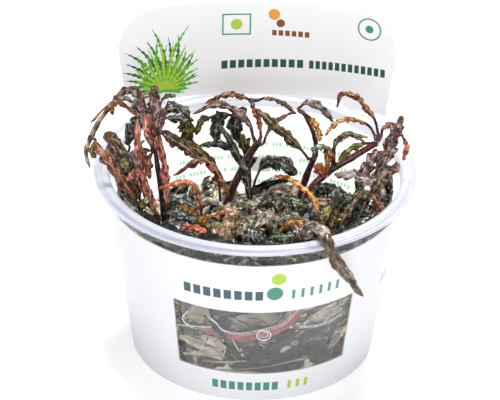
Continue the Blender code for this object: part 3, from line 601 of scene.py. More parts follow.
# A spine runs from a leaf's foot to its tip, and the stalk is the share of it that has no blade.
LEAVES = [
    Leaf("leaf_left_arch", "bronze", 3.6, 5, (0, -1, 1), 0.16,
         [(-34, 0, 81.5), (-37.5, 2.5, 87.6), (-42, 6.5, 88.3), (-47, 10, 81.8)]),
    Leaf("leaf_left_upright", "bronze", 4.4, 4, (0, -1, 0), 0.16,
         [(-32.5, -1, 80.5), (-32.5, 1, 85.5), (-33.5, 4, 91.5)]),
    Leaf("leaf_left_red", "rust", 2.2, 5, (0, -1, 2), 0.16,
         [(-35, -3, 81), (-40.5, -2, 85.8), (-46, -5, 90), (-53, -9.5, 85)]),
    Leaf("leaf_left_drooping", "grey", 2.6, 5, (-1, -1, 1), 0.2,
         [(-35.5, 2, 81), (-40, 4, 85), (-44.5, 4, 86.5),
          (-50, 0, 81.5), (-54.7, -5, 73.5), (-53.3, -7, 66.5)]),
    Leaf("leaf_left_broad", "grey", 8.0, 5, (0, -1, 1), 0.3,
         [(-33, -9, 44), (-36.5, -8, 54), (-39.5, -7, 62), (-43, -5.5, 71), (-48.5, -3, 78)]),
    Leaf("leaf_left_brown", "rust", 4.4, 5, (0, -1, 1), 0.3,
         [(-32, -16, 45), (-36.5, -15.5, 56), (-41, -14, 64), (-46.5, -12.5, 71.5), (-52, -10, 79)]),
    Leaf("leaf_left_pink", "pink", 3.9, 6, (0, -1, 0), 0.24,
         [(-29, -16, 45), (-31.5, -15, 54), (-35, -13, 61), (-37, -12, 71.7), (-38, -9, 86.4)]),
    Leaf("leaf_left_rose", "pink", 3.4, 6, (1, -2, 0), 0.24,
         [(-27, -14, 46), (-28, -12.5, 56), (-28.5, -10, 64), (-30, -7, 73), (-34, -5, 84)]),
    Leaf("leaf_left_green", "dark", 5.2, 4, (0, -1, 0), 0.16,
         [(-35.5, 0, 77.5), (-38, 3, 77), (-40, 4, 74), (-41.5, 5, 68.5)]),
    Leaf("leaf_bridge_dark", "dark", 3.4, 4, (0, -1, 2), 0.16,
         [(-31, 0.5, 80), (-29.5, 2, 83), (-27, 3, 85), (-23.6, 4, 83.2)]),
    Leaf("leaf_hanging_olive", "olive", 6.0, 5, (0, -1, 0), 0.16,
         [(-23, 6.3, 81.3), (-22.5, 6.5, 75), (-22, 6.5, 68.5)]),
    Leaf("leaf_long_olive", "olive", 3.8, 6, (0, -1, 1), 0.25,
         [(-11.2, 2, 50), (-12.5, 2.3, 60), (-17, 3, 67), (-24, 3, 71.5), (-31, 2, 76)]),
    Leaf("leaf_red_arch", "rust", 3.4, 6, (0, -1, 2), 0.3,
         [(-6.5, -4.5, 42), (-8, -4, 53), (-11, -4, 61.5), (-17, -4, 69), (-26.5, -6, 64)]),
    Leaf("leaf_coral_arch", "coral", 2.6, 5, (0, -1, 2), 0.4,
         [(-16.5, -17.5, 45), (-17, -17, 54), (-18, -16, 62), (-21.5, -15, 67), (-31.5, -17, 65.5)]),
    Leaf("leaf_red_lobed", "coral", 4.4, 4, (0, -1, 2), 0.3,
         [(-13.5, -26.5, 48), (-15, -26.5, 54), (-19, -26, 56.5), (-23.5, -26.5, 55)]),
    Leaf("leaf_centre_arch", "bronze", 2.9, 6, (0, -1, 2), 0.16,
         [(-1, 7, 71.5), (-2, 7, 75.5), (-6, 8.5, 79.5), (-13, 11, 81.2), (-21, 14, 75.5)]),
    Leaf("leaf_centre_orange", "rust", 2.5, 6, (0, -1, 1), 0.16,
         [(-2, 10, 83.3), (-5, 10, 84.7), (-10, 14, 83.2), (-17, 17, 77.7)]),
    Leaf("leaf_centre_twisted", "coral", 2.5, 4, (1, -1, 0), 0.16,
         [(1.5, 7.5, 71.2), (1, 8, 76.5), (-1.5, 8, 82)]),
    Leaf("leaf_long_dark", "dark", 3.0, 6, (1, -2, 1), 0.24,
         [(-1.5, -2, 41), (-2, -1, 52), (-3, 1, 61), (-7.5, 1.5, 71), (-12, 0, 80)]),
    Leaf("leaf_glossy_drooping", "dark", 5.2, 4, (0, -1, 0), 0.3,
         [(-0.8, 9.7, 69.5), (-3, 12, 75), (-5.5, 12, 77), (-7, 11, 73), (-6, 11, 67)]),
    Leaf("leaf_glossy_side", "dark", 5.2, 4, (0, -1, 0), 0.3,
         [(-4, 10, 75.5), (-9, 9.5, 78), (-12.5, 8.5, 75), (-13.5, 7.5, 69.5)]),
    Leaf("leaf_small_olive", "olive", 2.8, 3, (0, -1, 0), 0.3,
         [(-11, 11.5, 77.5), (-15.5, 14.5, 74), (-18, 15.5, 72), (-19.5, 15, 67)]),
    Leaf("leaf_back_olive", "olive", 5.2, 4, (0, -1, 0), 0.45,
         [(-1, 12, 34), (-1.5, 14, 47), (-2, 15, 56), (-3.5, 15.5, 62), (-6, 16, 67.5)]),
    Leaf("leaf_dark_level", "dark", 3.0, 6, (0, -1, 3), 0.16,
         [(-4.2, 8.6, 62.6), (-9, 10, 66), (-15.5, 13, 65.3), (-20, 14, 62.6)]),
    Leaf("leaf_bronze_bow", "bronze", 2.7, 6, (0, -1, 3), 0.16,
         [(0.5, 12, 82.3), (3.5, 12, 83.3), (8.5, 15, 80), (13, 16, 75.1)]),
    Leaf("leaf_large_bronze", "bronze", 3.9, 6, (1, -2, 1), 0.16,
         [(17, 2, 66.5), (12.5, 2.5, 72.2), (6, 0.5, 79.5), (-0.5, -2, 87)]),
    Leaf("leaf_side_stalk", "bronze", 1.7, 4, (0, -1, 0), 0.16,
         [(2.5, 8.5, 68.5), (4, 9.5, 72.5), (8, 10, 77), (12.3, 9.5, 79.5)]),
    Leaf("leaf_dark_low_bow", "dark", 5.4, 5, (0, -1, 1), 0.35,
         [(-1.5, 9, 35), (-1, 9.5, 49), (2, 10, 58.5), (6, 10, 60.8), (10, 8, 60.5), (13.5, 7, 57.5)]),
    Leaf("leaf_grey_bow", "grey", 2.9, 6, (0, -1, 2), 0.16,
         [(13.5, 8.5, 81.5), (16.5, 9, 83.5), (21.5, 11, 80), (25, 12, 74.6)]),
    Leaf("leaf_orange_lobed", "orange", 2.6, 5, (0, -1, 1), 0.16,
         [(15.3, 3.5, 82.5), (18, 3, 80.3), (20, 0, 78), (20.5, -2, 75.2)]),
    Leaf("leaf_orange_wave", "orange", 2.2, 7, (0, -1, 2), 0.25,
         [(38.4, 5, 73.6), (36.5, 6, 76.7), (33, 5.5, 79),
          (28.3, 2.5, 81.3), (24, -0.5, 80), (22.2, -3, 78)]),
    Leaf("leaf_grey_wing", "grey", 2.0, 6, (0, -1, 2), 0.2,
         [(25.3, -1, 67), (25.5, -1.5, 74.5), (29, -3.5, 79.2), (36, -7, 79.8)]),
    Leaf("leaf_pale_fold", "green", 4.4, 4, (0, -1, 2), 0.25,
         [(24.2, -3.6, 65), (24.6, -5, 72), (21.5, -6, 76), (17.5, -7, 75)]),
    Leaf("leaf_olive_band", "olive", 2.6, 6, (0, -1, 2), 0.16,
         [(38.6, -0.6, 74.6), (33, -4, 75.5), (28.5, -5.5, 73), (25.5, -6.8, 67.8)]),
    Leaf("leaf_right_curled", "rust", 2.8, 7, (1, -1, 1), 0.16,
         [(39.3, 3.5, 75.2), (38, 6, 79.5), (35, 8, 82.8),
          (32.3, 10.5, 85), (27.7, 12, 85.2), (26, 13, 79.5)]),
    Leaf("leaf_right_brown", "rust", 2.2, 4, (0, -1, 1), 0.16,
         [(40.3, 4, 74.3), (41, 5.5, 76.5), (44, 7.5, 77), (47, 10, 73.6)]),
    Leaf("leaf_right_upright", "grey", 4.2, 5, (0, -1, 0), 0.5,
         [(34, -2, 41), (38, 0, 57), (41.5, 1, 69), (44.5, 2, 76), (47, 5, 81.6)]),
    Leaf("leaf_right_lobed", "bronze", 4.6, 5, (0, -1, 1), 0.4,
         [(33, -7, 43), (36, -6, 55), (38.5, -5.5, 64), (42, -5, 72), (45, -4, 79)]),
    Leaf("leaf_right_hanging", "coral", 2.2, 4, (0, -1, 0), 0.16,
         [(46.5, -5, 80), (48.3, -5.5, 76), (47.2, -6, 71)]),
    Leaf("leaf_right_tan", "grey", 4.8, 4, (0, -1, 2), 0.4,
         [(33, -11, 44), (36, -11, 57), (38.5, -10.5, 64), (42, -10, 69), (46, -9.5, 72)]),
    Leaf("leaf_right_pale", "grey", 4.6, 6, (0, -1, 2), 0.25,
         [(39.3, -15, 48), (41.5, -14.3, 61), (38.5, -13, 66.5), (31.5, -11.5, 69), (25, -10, 67.8)]),
    Leaf("leaf_right_rust", "rust", 4.2, 4, (0, -1, 1), 0.35,
         [(36, -22.5, 47), (38, -22, 58), (39, -20, 62.8), (37.5, -18.5, 65.5)]),
    Leaf("leaf_right_long_back", "grey", 3.8, 5, (-1, -1, 1), 0.3,
         [(25.5, -27.5, 47), (27, -26, 56), (29.5, -22.5, 62.5), (33, -18, 66.5)]),
    Leaf("leaf_right_long_front", "dark", 4.6, 5, (-1, -1, 1), 0.3,
         [(30, -29, 48), (31, -28, 56), (33.2, -25.5, 61.5), (35, -23, 65)]),
    Leaf("leaf_coral_tip", "coral", 2.4, 7, (0, -1, 2), 0.25,
         [(20.6, -29.5, 47), (20.6, -27.5, 58.5), (19, -22, 65),
          (15, -18, 67.5), (9.5, -15, 69.5), (5.5, -14, 69)]),
    Leaf("leaf_pale_long", "grey", 4.2, 6, (0, -1, 3), 0.25,
         [(8.5, -13, 44), (5, -13, 55), (-4, -14, 59.5), (-11, -16, 57.5)]),
    Leaf("leaf_veined_left", "grey", 6.2, 5, (0, -1, 2), 0.25,
         [(6, -21.5, 46), (4, -22.5, 56), (-1.5, -26, 59.5), (-5.5, -31, 57)]),
    Leaf("leaf_veined_right", "grey", 5.8, 5, (0, -1, 2), 0.25,
         [(7, -27.5, 48), (6, -26.2, 56.5), (10, -25, 61), (16, -25, 59.5)]),
    Leaf("leaf_yellow_lobed", "orange", 2.8, 5, (0, -1, 2), 0.3,
         [(5.5, -32, 48), (7.5, -31.7, 58.5), (12, -31, 62.5), (17, -31.5, 61.5)]),
    Leaf("leaf_crumpled_tan", "grey", 6.2, 5, (0, -1, 1), 0.3,
         [(-3.5, -18, 46), (-4.5, -19.5, 57), (-7.5, -23, 60), (-10, -30.5, 54)]),
    Leaf("leaf_yellow_olive", "olive", 4.4, 3, (-1, -1, 1), 0.35,
         [(23.3, -31.5, 48), (24, -30, 57.5), (25, -28.5, 62), (26.3, -27.5, 64.8)]),
    Leaf("leaf_over_rim", "grey", 4.4, 6, (0, -2, 1), 0.12,
         [(17, -30, 48), (18.3, -31, 58), (20, -38.5, 64.8), (22.1, -48, 65.6),
          (26, -49.5, 58.7), (30.5, -46, 50), (34.8, -42.7, 42.3)]),
]

# How wide a blade still is between two lobes: the smaller the share, the deeper the lobes.
DEEP_LOBES = {"orange": 0.36, "rust": 0.42, "coral": 0.48, "bronze": 0.55, "olive": 0.65, "dark": 0.85}
SHALLOW = 0.7

# Leaves that take another kind's finish than most leaves of their colour. Leaves that
# share a slot but look different from most leaves of it.
SPECIAL = {
    "leaf_left_broad": "umber",
    "leaf_over_rim": "bark",
    "leaf_right_upright": "dusk",
    "leaf_right_lobed": "dusk",
    "leaf_right_tan": "dusk",
    "leaf_right_pale": "pale",
    "leaf_right_long_back": "umber",
    "leaf_coral_tip": "ember",
    "leaf_pale_long": "sage",
    "leaf_veined_left": "sage",
    "leaf_veined_right": "sage",
    "leaf_crumpled_tan": "tan",
    "leaf_centre_arch": "dusk",
    "leaf_large_bronze": "umber",
}

# %% Make the large leaves
for number, leaf in enumerate(LEAVES):
    notch = DEEP_LOBES.get(leaf.colour, SHALLOW)
    skin = leaf_skin(leaf.spine, leaf.width, leaf.lobes, leaf.face, leaf.stalk, seed=number, notch=notch)
    points, faces, tags = skin
    finishes = [LEAF_FINISHES[SPECIAL.get(leaf.name, leaf.colour)]]
    add_piece(leaf.name + "_blade", points, faces, finishes, leaf.name, tags)
print("large leaves:", len(LEAVES))

# %% [markdown]
# ## The stems
# The stems are dark rods, the left one near black and the others dark red, and they are thicker at
# their joints. A rod is a ring of points moved along the stem's curve. Its finish has lighter streaks
# along the stem and a soft shine.

# %% Shape and finish the stems
Stem = namedtuple("Stem", "name foot_width tip_width path")

STEMS = [
    Stem("stem_left", 2.2, 1.3,
         [(-28, -11, 40), (-29.5, -8, 52), (-31.5, -5, 66), (-33.5, -2.5, 79)]),
    Stem("stem_centre", 3.0, 2.2,
         [(-11, 2, 36), (-8.5, 4, 50), (-3, 6, 63), (0.5, 6.5, 69.5)]),
    Stem("stem_inner_right", 2.4, 1.0,
         [(11, 4, 36), (16.5, 5, 58), (19.2, 5.5, 66), (19, 6, 72), (16.5, 6, 78.5), (14.5, 6, 81.8)]),
    Stem("stem_right", 2.7, 2.0,
         [(12, -4, 38), (17, -3, 56), (23, -1, 63), (30.5, 1, 67.5), (39, 2, 73)]),
]


def rod_skin(path, foot_width, tip_width, rings, sides, joints=0, wobble=0.0, seed=0):
    """Points, faces and tags of a tapered rod with a swelling at each of its joints."""
    draw = random.Random(seed)
    shares = np.linspace(0, 1, rings)
    centre, _, side, up = frames(path, shares, (0, -1, 0.3))
    radius = 0.5 * (foot_width + (tip_width - foot_width) * shares)
    if joints:
        radius = radius * (1 + 0.16 * np.abs(np.cos(np.pi * joints * shares)) ** 12)
    radius = radius * (1 + wobble * np.array([draw.uniform(-1, 1) for _ in shares]))
    angle = np.linspace(0, 2 * np.pi, sides, endpoint=False)
    ring = side[:, None] * np.cos(angle)[None, :, None] + up[:, None] * np.sin(angle)[None, :, None]
    points = centre[:, None] + ring * radius[:, None, None]
    tags = np.zeros((rings, sides, 4))
    tags[..., 0] = 0.2
    tags[..., 1] = shares[:, None]
    tags[..., 3] = 1
    return points.reshape(-1, 3), tube_faces(rings, sides), tags.reshape(-1, 4)


def stem_finish(name, deep, light, rough):
    """A soft shine with streaks, which are drawn out to four times their width up the stem."""
    material, shader, net = new_finish(name)
    streaks = noise(net, own_place(net) * (1, 1, 0.25), 1400.0, 3.0)
    share = fade(streaks, 0.35, 0.7)
    bump = bumps(streaks, 0.5, 0.0003)
    feed(shader, Base_Color=share.mix(deep, light), Roughness=rough + 0.15 * share, Normal=bump)
    feed(shader, Coat_Weight=0.3, Coat_Roughness=0.2)
    return material


maroon = stem_finish("maroon_stem_skin", (0.07, 0.012, 0.012), (0.24, 0.05, 0.035), 0.25)
dark_maroon = stem_finish("dark_stem_skin", (0.02, 0.008, 0.007), (0.12, 0.035, 0.028), 0.22)
black_green = stem_finish("black_stem_skin", (0.008, 0.008, 0.006), (0.05, 0.035, 0.025), 0.2)
STEM_FINISHES = {"stem_left": black_green, "stem_right": maroon}
for stem in STEMS:
    spans = len(stem.path) - 1
    points, faces, tags = rod_skin(
        stem.path, stem.foot_width, stem.tip_width, rings=24 * spans, sides=16, joints=spans, wobble=0.01
    )
    finish = STEM_FINISHES.get(stem.name, dark_maroon)
    add_piece(stem.name + "_skin", points, faces, [finish], stem.name, tags)
print("stems:", len(STEMS))

# %% [markdown]
# ## The clear tub
# The tub is moulded in clear plastic: a flat foot, a wall that widens upwards and a stepped rim with
# a thin flange. It is a profile turned round the upright axis. Each corner of the profile is rounded
# first, because a moulded edge catches a line of light that a sharp one can't. The wall is clear, but
# the rim scatters light and looks milky, so its lip, flange and shoulder each have a finish.

# %% Name the sizes of the tub
CARD = 0.45
CARD_GAP = 0.35
CARD_FOOT_RADIUS = 39.4
CARD_SLOPE = 0.1484
WALL = 0.8
OPENING_RADIUS = 47.3
RIM_TOP = 63.7
FLANGE_TOP = 63.25
FLANGE_FOOT = 62.1
WALL_TOP = 60.2
FLOOR_TOP = 1.2
TUB_SIDES = 144


def card_radius(height):
    return CARD_FOOT_RADIUS + CARD_SLOPE * height


def tub_outer(height):
    return card_radius(height) - CARD - CARD_GAP


def tub_inner(height):
    return tub_outer(height) - WALL


print("inner radius:", [round(tub_inner(height), 1) for height in (0, WALL_TOP)])

# %% Turn a profile


def rounded(profile, radius, steps=3):
    """Round each inner corner of a profile with a short curve."""
    line = [np.array(profile[0], float)]
    for before, corner, after in zip(profile, profile[1:], profile[2:]):
        corner = np.array(corner, float)
        ends = []
        for other in (before, after):
            way = np.array(other, float) - corner
            length = np.linalg.norm(way)
            ends.append(corner + way / length * min(radius, 0.45 * length))
        for step in range(steps + 1):
            t = step / steps
            line.append((1 - t) ** 2 * ends[0] + 2 * t * (1 - t) * corner + t**2 * ends[1])
    line.append(np.array(profile[-1], float))
    return line


def turned_faces(rings, sides):
    """Faces of rings of points that stand between a first and a last point on the axis."""
    faces = tube_faces(rings, sides, 1)[:-2]
    last = rings * sides + 1
    for side in range(sides):
        following = (side + 1) % sides
        faces.append((0, 1 + side, 1 + following))
        faces.append((last, last - sides + following, last - sides + side))
    return faces


def turned_skin(profile, sides, lift=None):
    """Turn a profile that starts and ends on the axis; lift may change the height of a point."""
    angle = np.linspace(0, 2 * np.pi, sides, endpoint=False)
    points = [(0, 0, profile[0][1])]
    for radius, height in profile[1:-1]:
        for a in angle:
            x, y = radius * math.sin(a), -radius * math.cos(a)
            points.append((x, y, height + (lift(x, y, height) if lift else 0)))
    points.append((0, 0, profile[-1][1]))
    return points, turned_faces(len(profile) - 2, sides)


tub_profile = [
    (0, 0),
    (37.4, 0),
    (tub_outer(FLOOR_TOP), FLOOR_TOP),
    (tub_outer(30), 30),
    (tub_outer(WALL_TOP), WALL_TOP),
    (48.3, 62.4),
    (51.5, 62.5),
    (51.7, FLANGE_FOOT),
    (52.3, FLANGE_FOOT),
    (52.5, 62.9),
    (52.2, FLANGE_TOP),
    (50.1, FLANGE_TOP),
    (49.6, RIM_TOP),
    (48.0, RIM_TOP),
    (OPENING_RADIUS, 63.2),
    (tub_inner(WALL_TOP), WALL_TOP),
    (tub_inner(30), 30),
    (tub_inner(2.0), 2.0),
    (36.4, FLOOR_TOP),
    (0, FLOOR_TOP),
]
tub_points, tub_faces = turned_skin(rounded(tub_profile, 0.35), TUB_SIDES)
print("tub:", len(tub_points), "points,", len(tub_faces), "faces")

# %% [markdown]
# ## The plastic's finishes
# Clear plastic lets light through and bends it, which plain transmission does. The thick rim is moulded
# in steps that catch light from everywhere, too small to follow with rays in a short render. So its
# finishes let less light through, are tinted a pale lavender and glow faintly where the rim is bright.

# %% Finish the clear plastic
# A real wall of this plastic bends light more; the lower value keeps the reflections on it faint.
WALL_IOR = 1.24
RIM_IOR = 1.46


def clear_finish(name, tint, rough, ior, relief):
    """A see-through finish: plain transmission with a faint tint."""
    material, shader, net = new_finish(name)
    waves = noise(net, own_place(net), 90.0, 2.0)
    feed(shader, Base_Color=waves.mix(tint, tuple(0.97 * part for part in tint)))
    feed(shader, Roughness=rough + 0.02 * waves, Normal=bumps(waves, relief, 0.0008))
    feed(shader, IOR=ior, Transmission_Weight=1.0)
    return material


def rim_finish(name, clear, pale, deep):
    """A milky finish that glows faintly along the rim's outer edge and at its back."""
    material, shader, net = new_finish(name)
    place = own_place(net)
    cloud = noise(net, place, 60.0, 3.0)
    across, depth = axis(place, 0), axis(place, 1)
    # The outer edge lies from 51.9 to 52.3 mm off the axis, and the glow grows from front to back.
    edge = fade((across * across + depth * depth) ** 0.5, 0.0519, 0.0523, 0.0, 1.2)
    back = fade(depth, -0.045, 0.04, 0.0, 0.7)
    bright = back + edge * (1 - back)
    feed(shader, Base_Color=cloud.mix(pale, deep), Roughness=0.16 + 0.15 * cloud)
    feed(shader, Normal=bumps(cloud, 0.1, 0.0005), IOR=RIM_IOR, Transmission_Weight=clear)
    feed(shader, Emission_Color=bright.mix((0, 0, 0), (1, 1, 1)), Emission_Strength=0.2)
    return material


TUB_FINISHES = [
    clear_finish("clear_plastic", (0.985, 0.99, 1.0), 0.03, WALL_IOR, 0.12),
    rim_finish("milky_rim", 0.35, (0.78, 0.79, 0.85), (0.7, 0.715, 0.8)),
    rim_finish("thin_flange", 0.6, (0.66, 0.67, 0.78), (0.58, 0.59, 0.7)),
    rim_finish("clear_shoulder", 0.88, (0.8, 0.82, 0.92), (0.7, 0.72, 0.82)),
]
IS_WALL, IS_LIP, IS_FLANGE, IS_SHOULDER = range(4)
print("tub finishes:", [finish.name for finish in TUB_FINISHES])

# %% Give each part of the tub its finish
# Heights, and distances from the axis, at which one part of the tub passes into the next.
RIM_FROM = 60.9
SHOULDER_FROM = 60.4
SHOULDER_TO = 62.05
MOUTH_TO = 47.5
FLANGE_FROM = 50.3


def tub_part(radius, height):
    """The finish of a face by its distance from the axis and its height."""
    if radius > MOUTH_TO and SHOULDER_FROM < height < SHOULDER_TO:
        return IS_SHOULDER
    if height < RIM_FROM:
        return IS_WALL
    return IS_LIP if radius < FLANGE_FROM else IS_FLANGE


middles = [np.mean([tub_points[corner] for corner in face], axis=0) for face in tub_faces]
marks = [tub_part(math.hypot(x, y), z) for x, y, z in middles]
print("faces of each finish:", [marks.count(part) for part in range(4)])
add_piece(
    "clear_tub_wall", tub_points, tub_faces, TUB_FINISHES, "clear_tub", marks=marks, angle=60
)

# %% [markdown]
# ## The card sleeve
# The sleeve and its header are one sheet of coated card, cut flat and bent round the tub. It is made
# the same way here: the flat cut is a net of triangles with the window and the slit left out, and
# each point of it is then placed on the bent surface, once for the inner and once for the outer face.

# %% Name the sizes of the cut
SLEEVE_TOP = 55.6
WINDOW_TURNS = (-35.0, 45.5)  # degrees from the front
WINDOW_HEIGHTS = (11.3, 36.8)
BULGE_START = 30.0  # height where the back of the card begins to leave the tub
SLIT_BOTTOM, SLIT_TOP, SLIT_HALF = 60.7, 64.1, 28.5
HEADER_HALF, HEADER_BACK, HEADER_BEND, HEADER_LEAN = 43.0, 48.8, 98.0, 0.14
HEADER_TOP, HEADER_FLARE, HEADER_CORNER = 96.6, 0.0035, 15.0
SEAM_TURN = 115.0  # where the two ends of the sheet meet
SLEEVE_RADIUS = 45  # about half way up
MM_PER_DEGREE = math.pi / 180 * SLEEVE_RADIUS
HUG_TURN = 88  # degrees from the back, past which the sleeve lies on the tub
NET_STEP = 2.0
WINDOW_STEP = 1.2
HEADER_SPANS = 90
SLIT_SPANS = 40


def header_depth(x, height):
    """Y of the header's front face."""
    return HEADER_BACK - x * x / (2 * HEADER_BEND) + HEADER_LEAN * (height - RIM_TOP)


def wrap_point(turn, height, depth):
    """A point of the sleeve at an angle from the front; depth 0 is its inner face, 1 its outer."""
    from_back = 180 - abs((turn + 180) % 360 - 180)
    hugging = card_radius(SLIT_BOTTOM) - CARD
    corner_depth = header_depth(HEADER_HALF, SLIT_BOTTOM)
    edge_turn = math.degrees(math.atan2(HEADER_HALF, corner_depth))
    if from_back <= edge_turn:
        slope = math.tan(math.radians(from_back))
        y = HEADER_BACK + HEADER_LEAN * (SLIT_BOTTOM - RIM_TOP)
        if slope > 0.001:
            y = (math.sqrt(1 + 2 * slope**2 * y / HEADER_BEND) - 1) * HEADER_BEND / slope**2
        standing = y / math.cos(math.radians(from_back)) - hugging
    else:
        settling = smooth(edge_turn, HUG_TURN, from_back)
        standing = (math.hypot(HEADER_HALF, corner_depth) - hugging) * (1 - settling)
    radius = card_radius(height) - CARD + smooth(BULGE_START, SLIT_BOTTOM, height) * standing + CARD * depth
    return np.array((radius * math.sin(math.radians(turn)), -radius * math.cos(math.radians(turn)), height))


def header_point(share, height, depth):
    """A point of the header; share runs from -1 at its left edge to 1 at its right edge."""
    x = share * HEADER_HALF * (1 + HEADER_FLARE * (height - SLIT_TOP))
    return np.array((x, header_depth(x, height) + CARD * depth, height))


def card_point(place, height, depth):
    """Bend a point of the flat cut: place is its distance round the sleeve."""
    turn = place / MM_PER_DEGREE
    if height <= SLIT_BOTTOM:
        return wrap_point(turn, height, depth)
    share = wrap_point(turn, SLIT_BOTTOM, 0)[0] / HEADER_HALF
    if height >= SLIT_TOP:
        return header_point(share, height, depth)
    t = (height - SLIT_BOTTOM) / (SLIT_TOP - SLIT_BOTTOM)
    return (1 - t) * wrap_point(turn, SLIT_BOTTOM, depth) + t * header_point(share, SLIT_TOP, depth)


def header_edge(share):
    """Height of the header's top edge, which has round corners."""
    # Up here the header is about a tenth wider than at its foot.
    inset = (1 - abs(share)) * HEADER_HALF * 1.1
    if inset >= HEADER_CORNER:
        return HEADER_TOP
    return HEADER_TOP - HEADER_CORNER + math.sqrt(HEADER_CORNER**2 - (HEADER_CORNER - inset) ** 2)


def share_place(share):
    """Distance round the sleeve at which a share of the header's width stands."""
    x = share * HEADER_HALF
    turn = math.degrees(math.atan2(x, -header_depth(x, SLIT_BOTTOM)))
    return (turn - 360 if turn > SEAM_TURN else turn) * MM_PER_DEGREE


# %% [markdown]
# ## Cutting the card
# A sheet with a window could be a solid sheet with a boolean cut, but that leaves long thin faces that
# bend badly. A net of nearly even triangles bends well. Its points are the outlines' own and a grid
# between them, a triangulation joins them, and the triangles in the window and the slit are dropped.

# %% Cut the card flat


def between(start, end, step):
    """Points from start up to but without end, about a step apart."""
    start, end = np.array(start, float), np.array(end, float)
    count = max(1, round(float(np.linalg.norm(end - start)) / step))
    return [tuple(start + (end - start) * number / count) for number in range(count)]


def walk(corners, step):
    """A closed outline with a point about every step."""
    line = []
    for start, end in zip(corners, corners[1:] + corners[:1]):
        line += between(start, end, step)
    return line


def inside(point, outline):
    """True where a point lies in a closed outline."""
    x, y = point
    hit = False
    for (x1, y1), (x2, y2) in zip(outline, outline[1:] + outline[:1]):
        if (y1 > y) != (y2 > y) and x < (x2 - x1) * (y - y1) / (y2 - y1) + x1:
            hit = not hit
    return hit


seam_right = SEAM_TURN * MM_PER_DEGREE
seam_left = (SEAM_TURN - 360) * MM_PER_DEGREE
# Points stand closer together towards the header's two round corners.
shares = [math.cos(math.pi * step / HEADER_SPANS) for step in range(HEADER_SPANS + 1)]
header_line = [(share_place(-share), header_edge(share)) for share in shares]
cut = [(seam_left, 0), (seam_right, 0), (seam_right, SLEEVE_TOP), (share_place(-1), SLEEVE_TOP)]
cut += header_line + [(share_place(1), SLEEVE_TOP), (seam_left, SLEEVE_TOP)]
outer_line = walk(cut, NET_STEP)
left, right = (turn * MM_PER_DEGREE for turn in WINDOW_TURNS)
low, high = WINDOW_HEIGHTS
window_line = walk([(left, low), (right, low), (right, high), (left, high)], WINDOW_STEP)
slit_shares = [SLIT_HALF / HEADER_HALF * (2 * step / SLIT_SPANS - 1) for step in range(SLIT_SPANS + 1)]
slit_line = [(share_place(-share), SLIT_BOTTOM) for share in slit_shares]
slit_line += [(share_place(share), SLIT_TOP) for share in slit_shares]
outlines = [outer_line, window_line, slit_line]

spots = [spot for outline in outlines for spot in outline]
edges = []
for outline in outlines:
    first, count = len(edges), len(outline)
    edges += [(first + number, first + (number + 1) % count) for number in range(count)]
edge_spots = np.array(spots)
for row in np.arange(NET_STEP, HEADER_TOP, NET_STEP):
    for column in np.arange(seam_left + NET_STEP, seam_right, NET_STEP):
        if row > SLEEVE_TOP and not share_place(1) < column < share_place(-1):
            continue
        if np.min(np.abs(edge_spots - (column, row)).max(axis=1)) > 0.6 * NET_STEP:
            if row < SLEEVE_TOP or inside((column, row), outer_line):
                spots.append((column, row))
flat, _, triangles, *_ = geometry.delaunay_2d_cdt([Vector(spot) for spot in spots], edges, [], 0, 0.001)


def is_card(triangle):
    """True for a triangle that the window and the slit don't take."""
    middle = sum((flat[corner] for corner in triangle), Vector((0, 0))) / 3
    return inside(middle, outer_line) and not inside(middle, window_line) and not inside(middle, slit_line)


triangles = [tuple(triangle) for triangle in triangles if is_card(triangle)]
print("flat cut:", len(flat), "points,", len(triangles), "triangles")

# %% Bend the card
used = sorted({corner for triangle in triangles for corner in triangle})
number_of = {}
bent = []
for corner in used:
    place, height = flat[corner]
    if abs(place - seam_right) < 0.001:
        place = seam_left
    key = (round(place, 3), round(height, 3))
    if key not in number_of:
        number_of[key] = len(bent)
        bent.append((place, height))
    number_of[corner] = number_of[key]
triangles = [tuple(number_of[corner] for corner in triangle) for triangle in triangles]
count = len(bent)
card_points = [card_point(place, height, depth) for depth in (1, 0) for place, height in bent]
card_faces = list(triangles)
card_faces += [tuple(count + corner for corner in reversed(triangle)) for triangle in triangles]
card_marks = [0] * len(triangles) + [1] * len(triangles)
sides_of = {}
for triangle in triangles:
    for start, end in zip(triangle, triangle[1:] + triangle[:1]):
        sides_of[(start, end)] = True
for start, end in sides_of:
    if (end, start) not in sides_of:
        card_faces.append((end, start, count + start, count + end))
        card_marks.append(2)
print("card:", len(card_points), "points,", len(card_faces), "faces")

# %% [markdown]
# ## Prints on the card
# The prints are rows of plain blocks and a few plain shapes: a fan of green blades, discs, a ring and
# a square. A picture laid on the card would blur close up. Here each print is a sum on how far across
# the card and how high up a point lies, so every edge stays sharp.

# %% Helpers for prints


def blocks(line, start, end, count, fill):
    """A row of equal blocks between two places on a line."""
    step = (line - start) / ((end - start) / count)
    return (line > start) * (line < end) * ((step % 1.0) < fill)


def band(line, low, high):
    return (line > low) * (line < high)


def either(first, second):
    """The larger of two masks, which is where at least one of them holds."""
    return first.sum("MAXIMUM", first, second)


def disc(across, up, radius):
    return (across * across + up * up) < radius**2


def ring(across, up, radius, stroke):
    distance = (across * across + up * up) ** 0.5
    return abs(distance - radius) < stroke / 2


def dice(net, number):
    """A chance value from 0 to 1 for each whole number."""
    return net.node("ShaderNodeTexWhiteNoise", {"noise_dimensions": "1D"}, {"W": number})


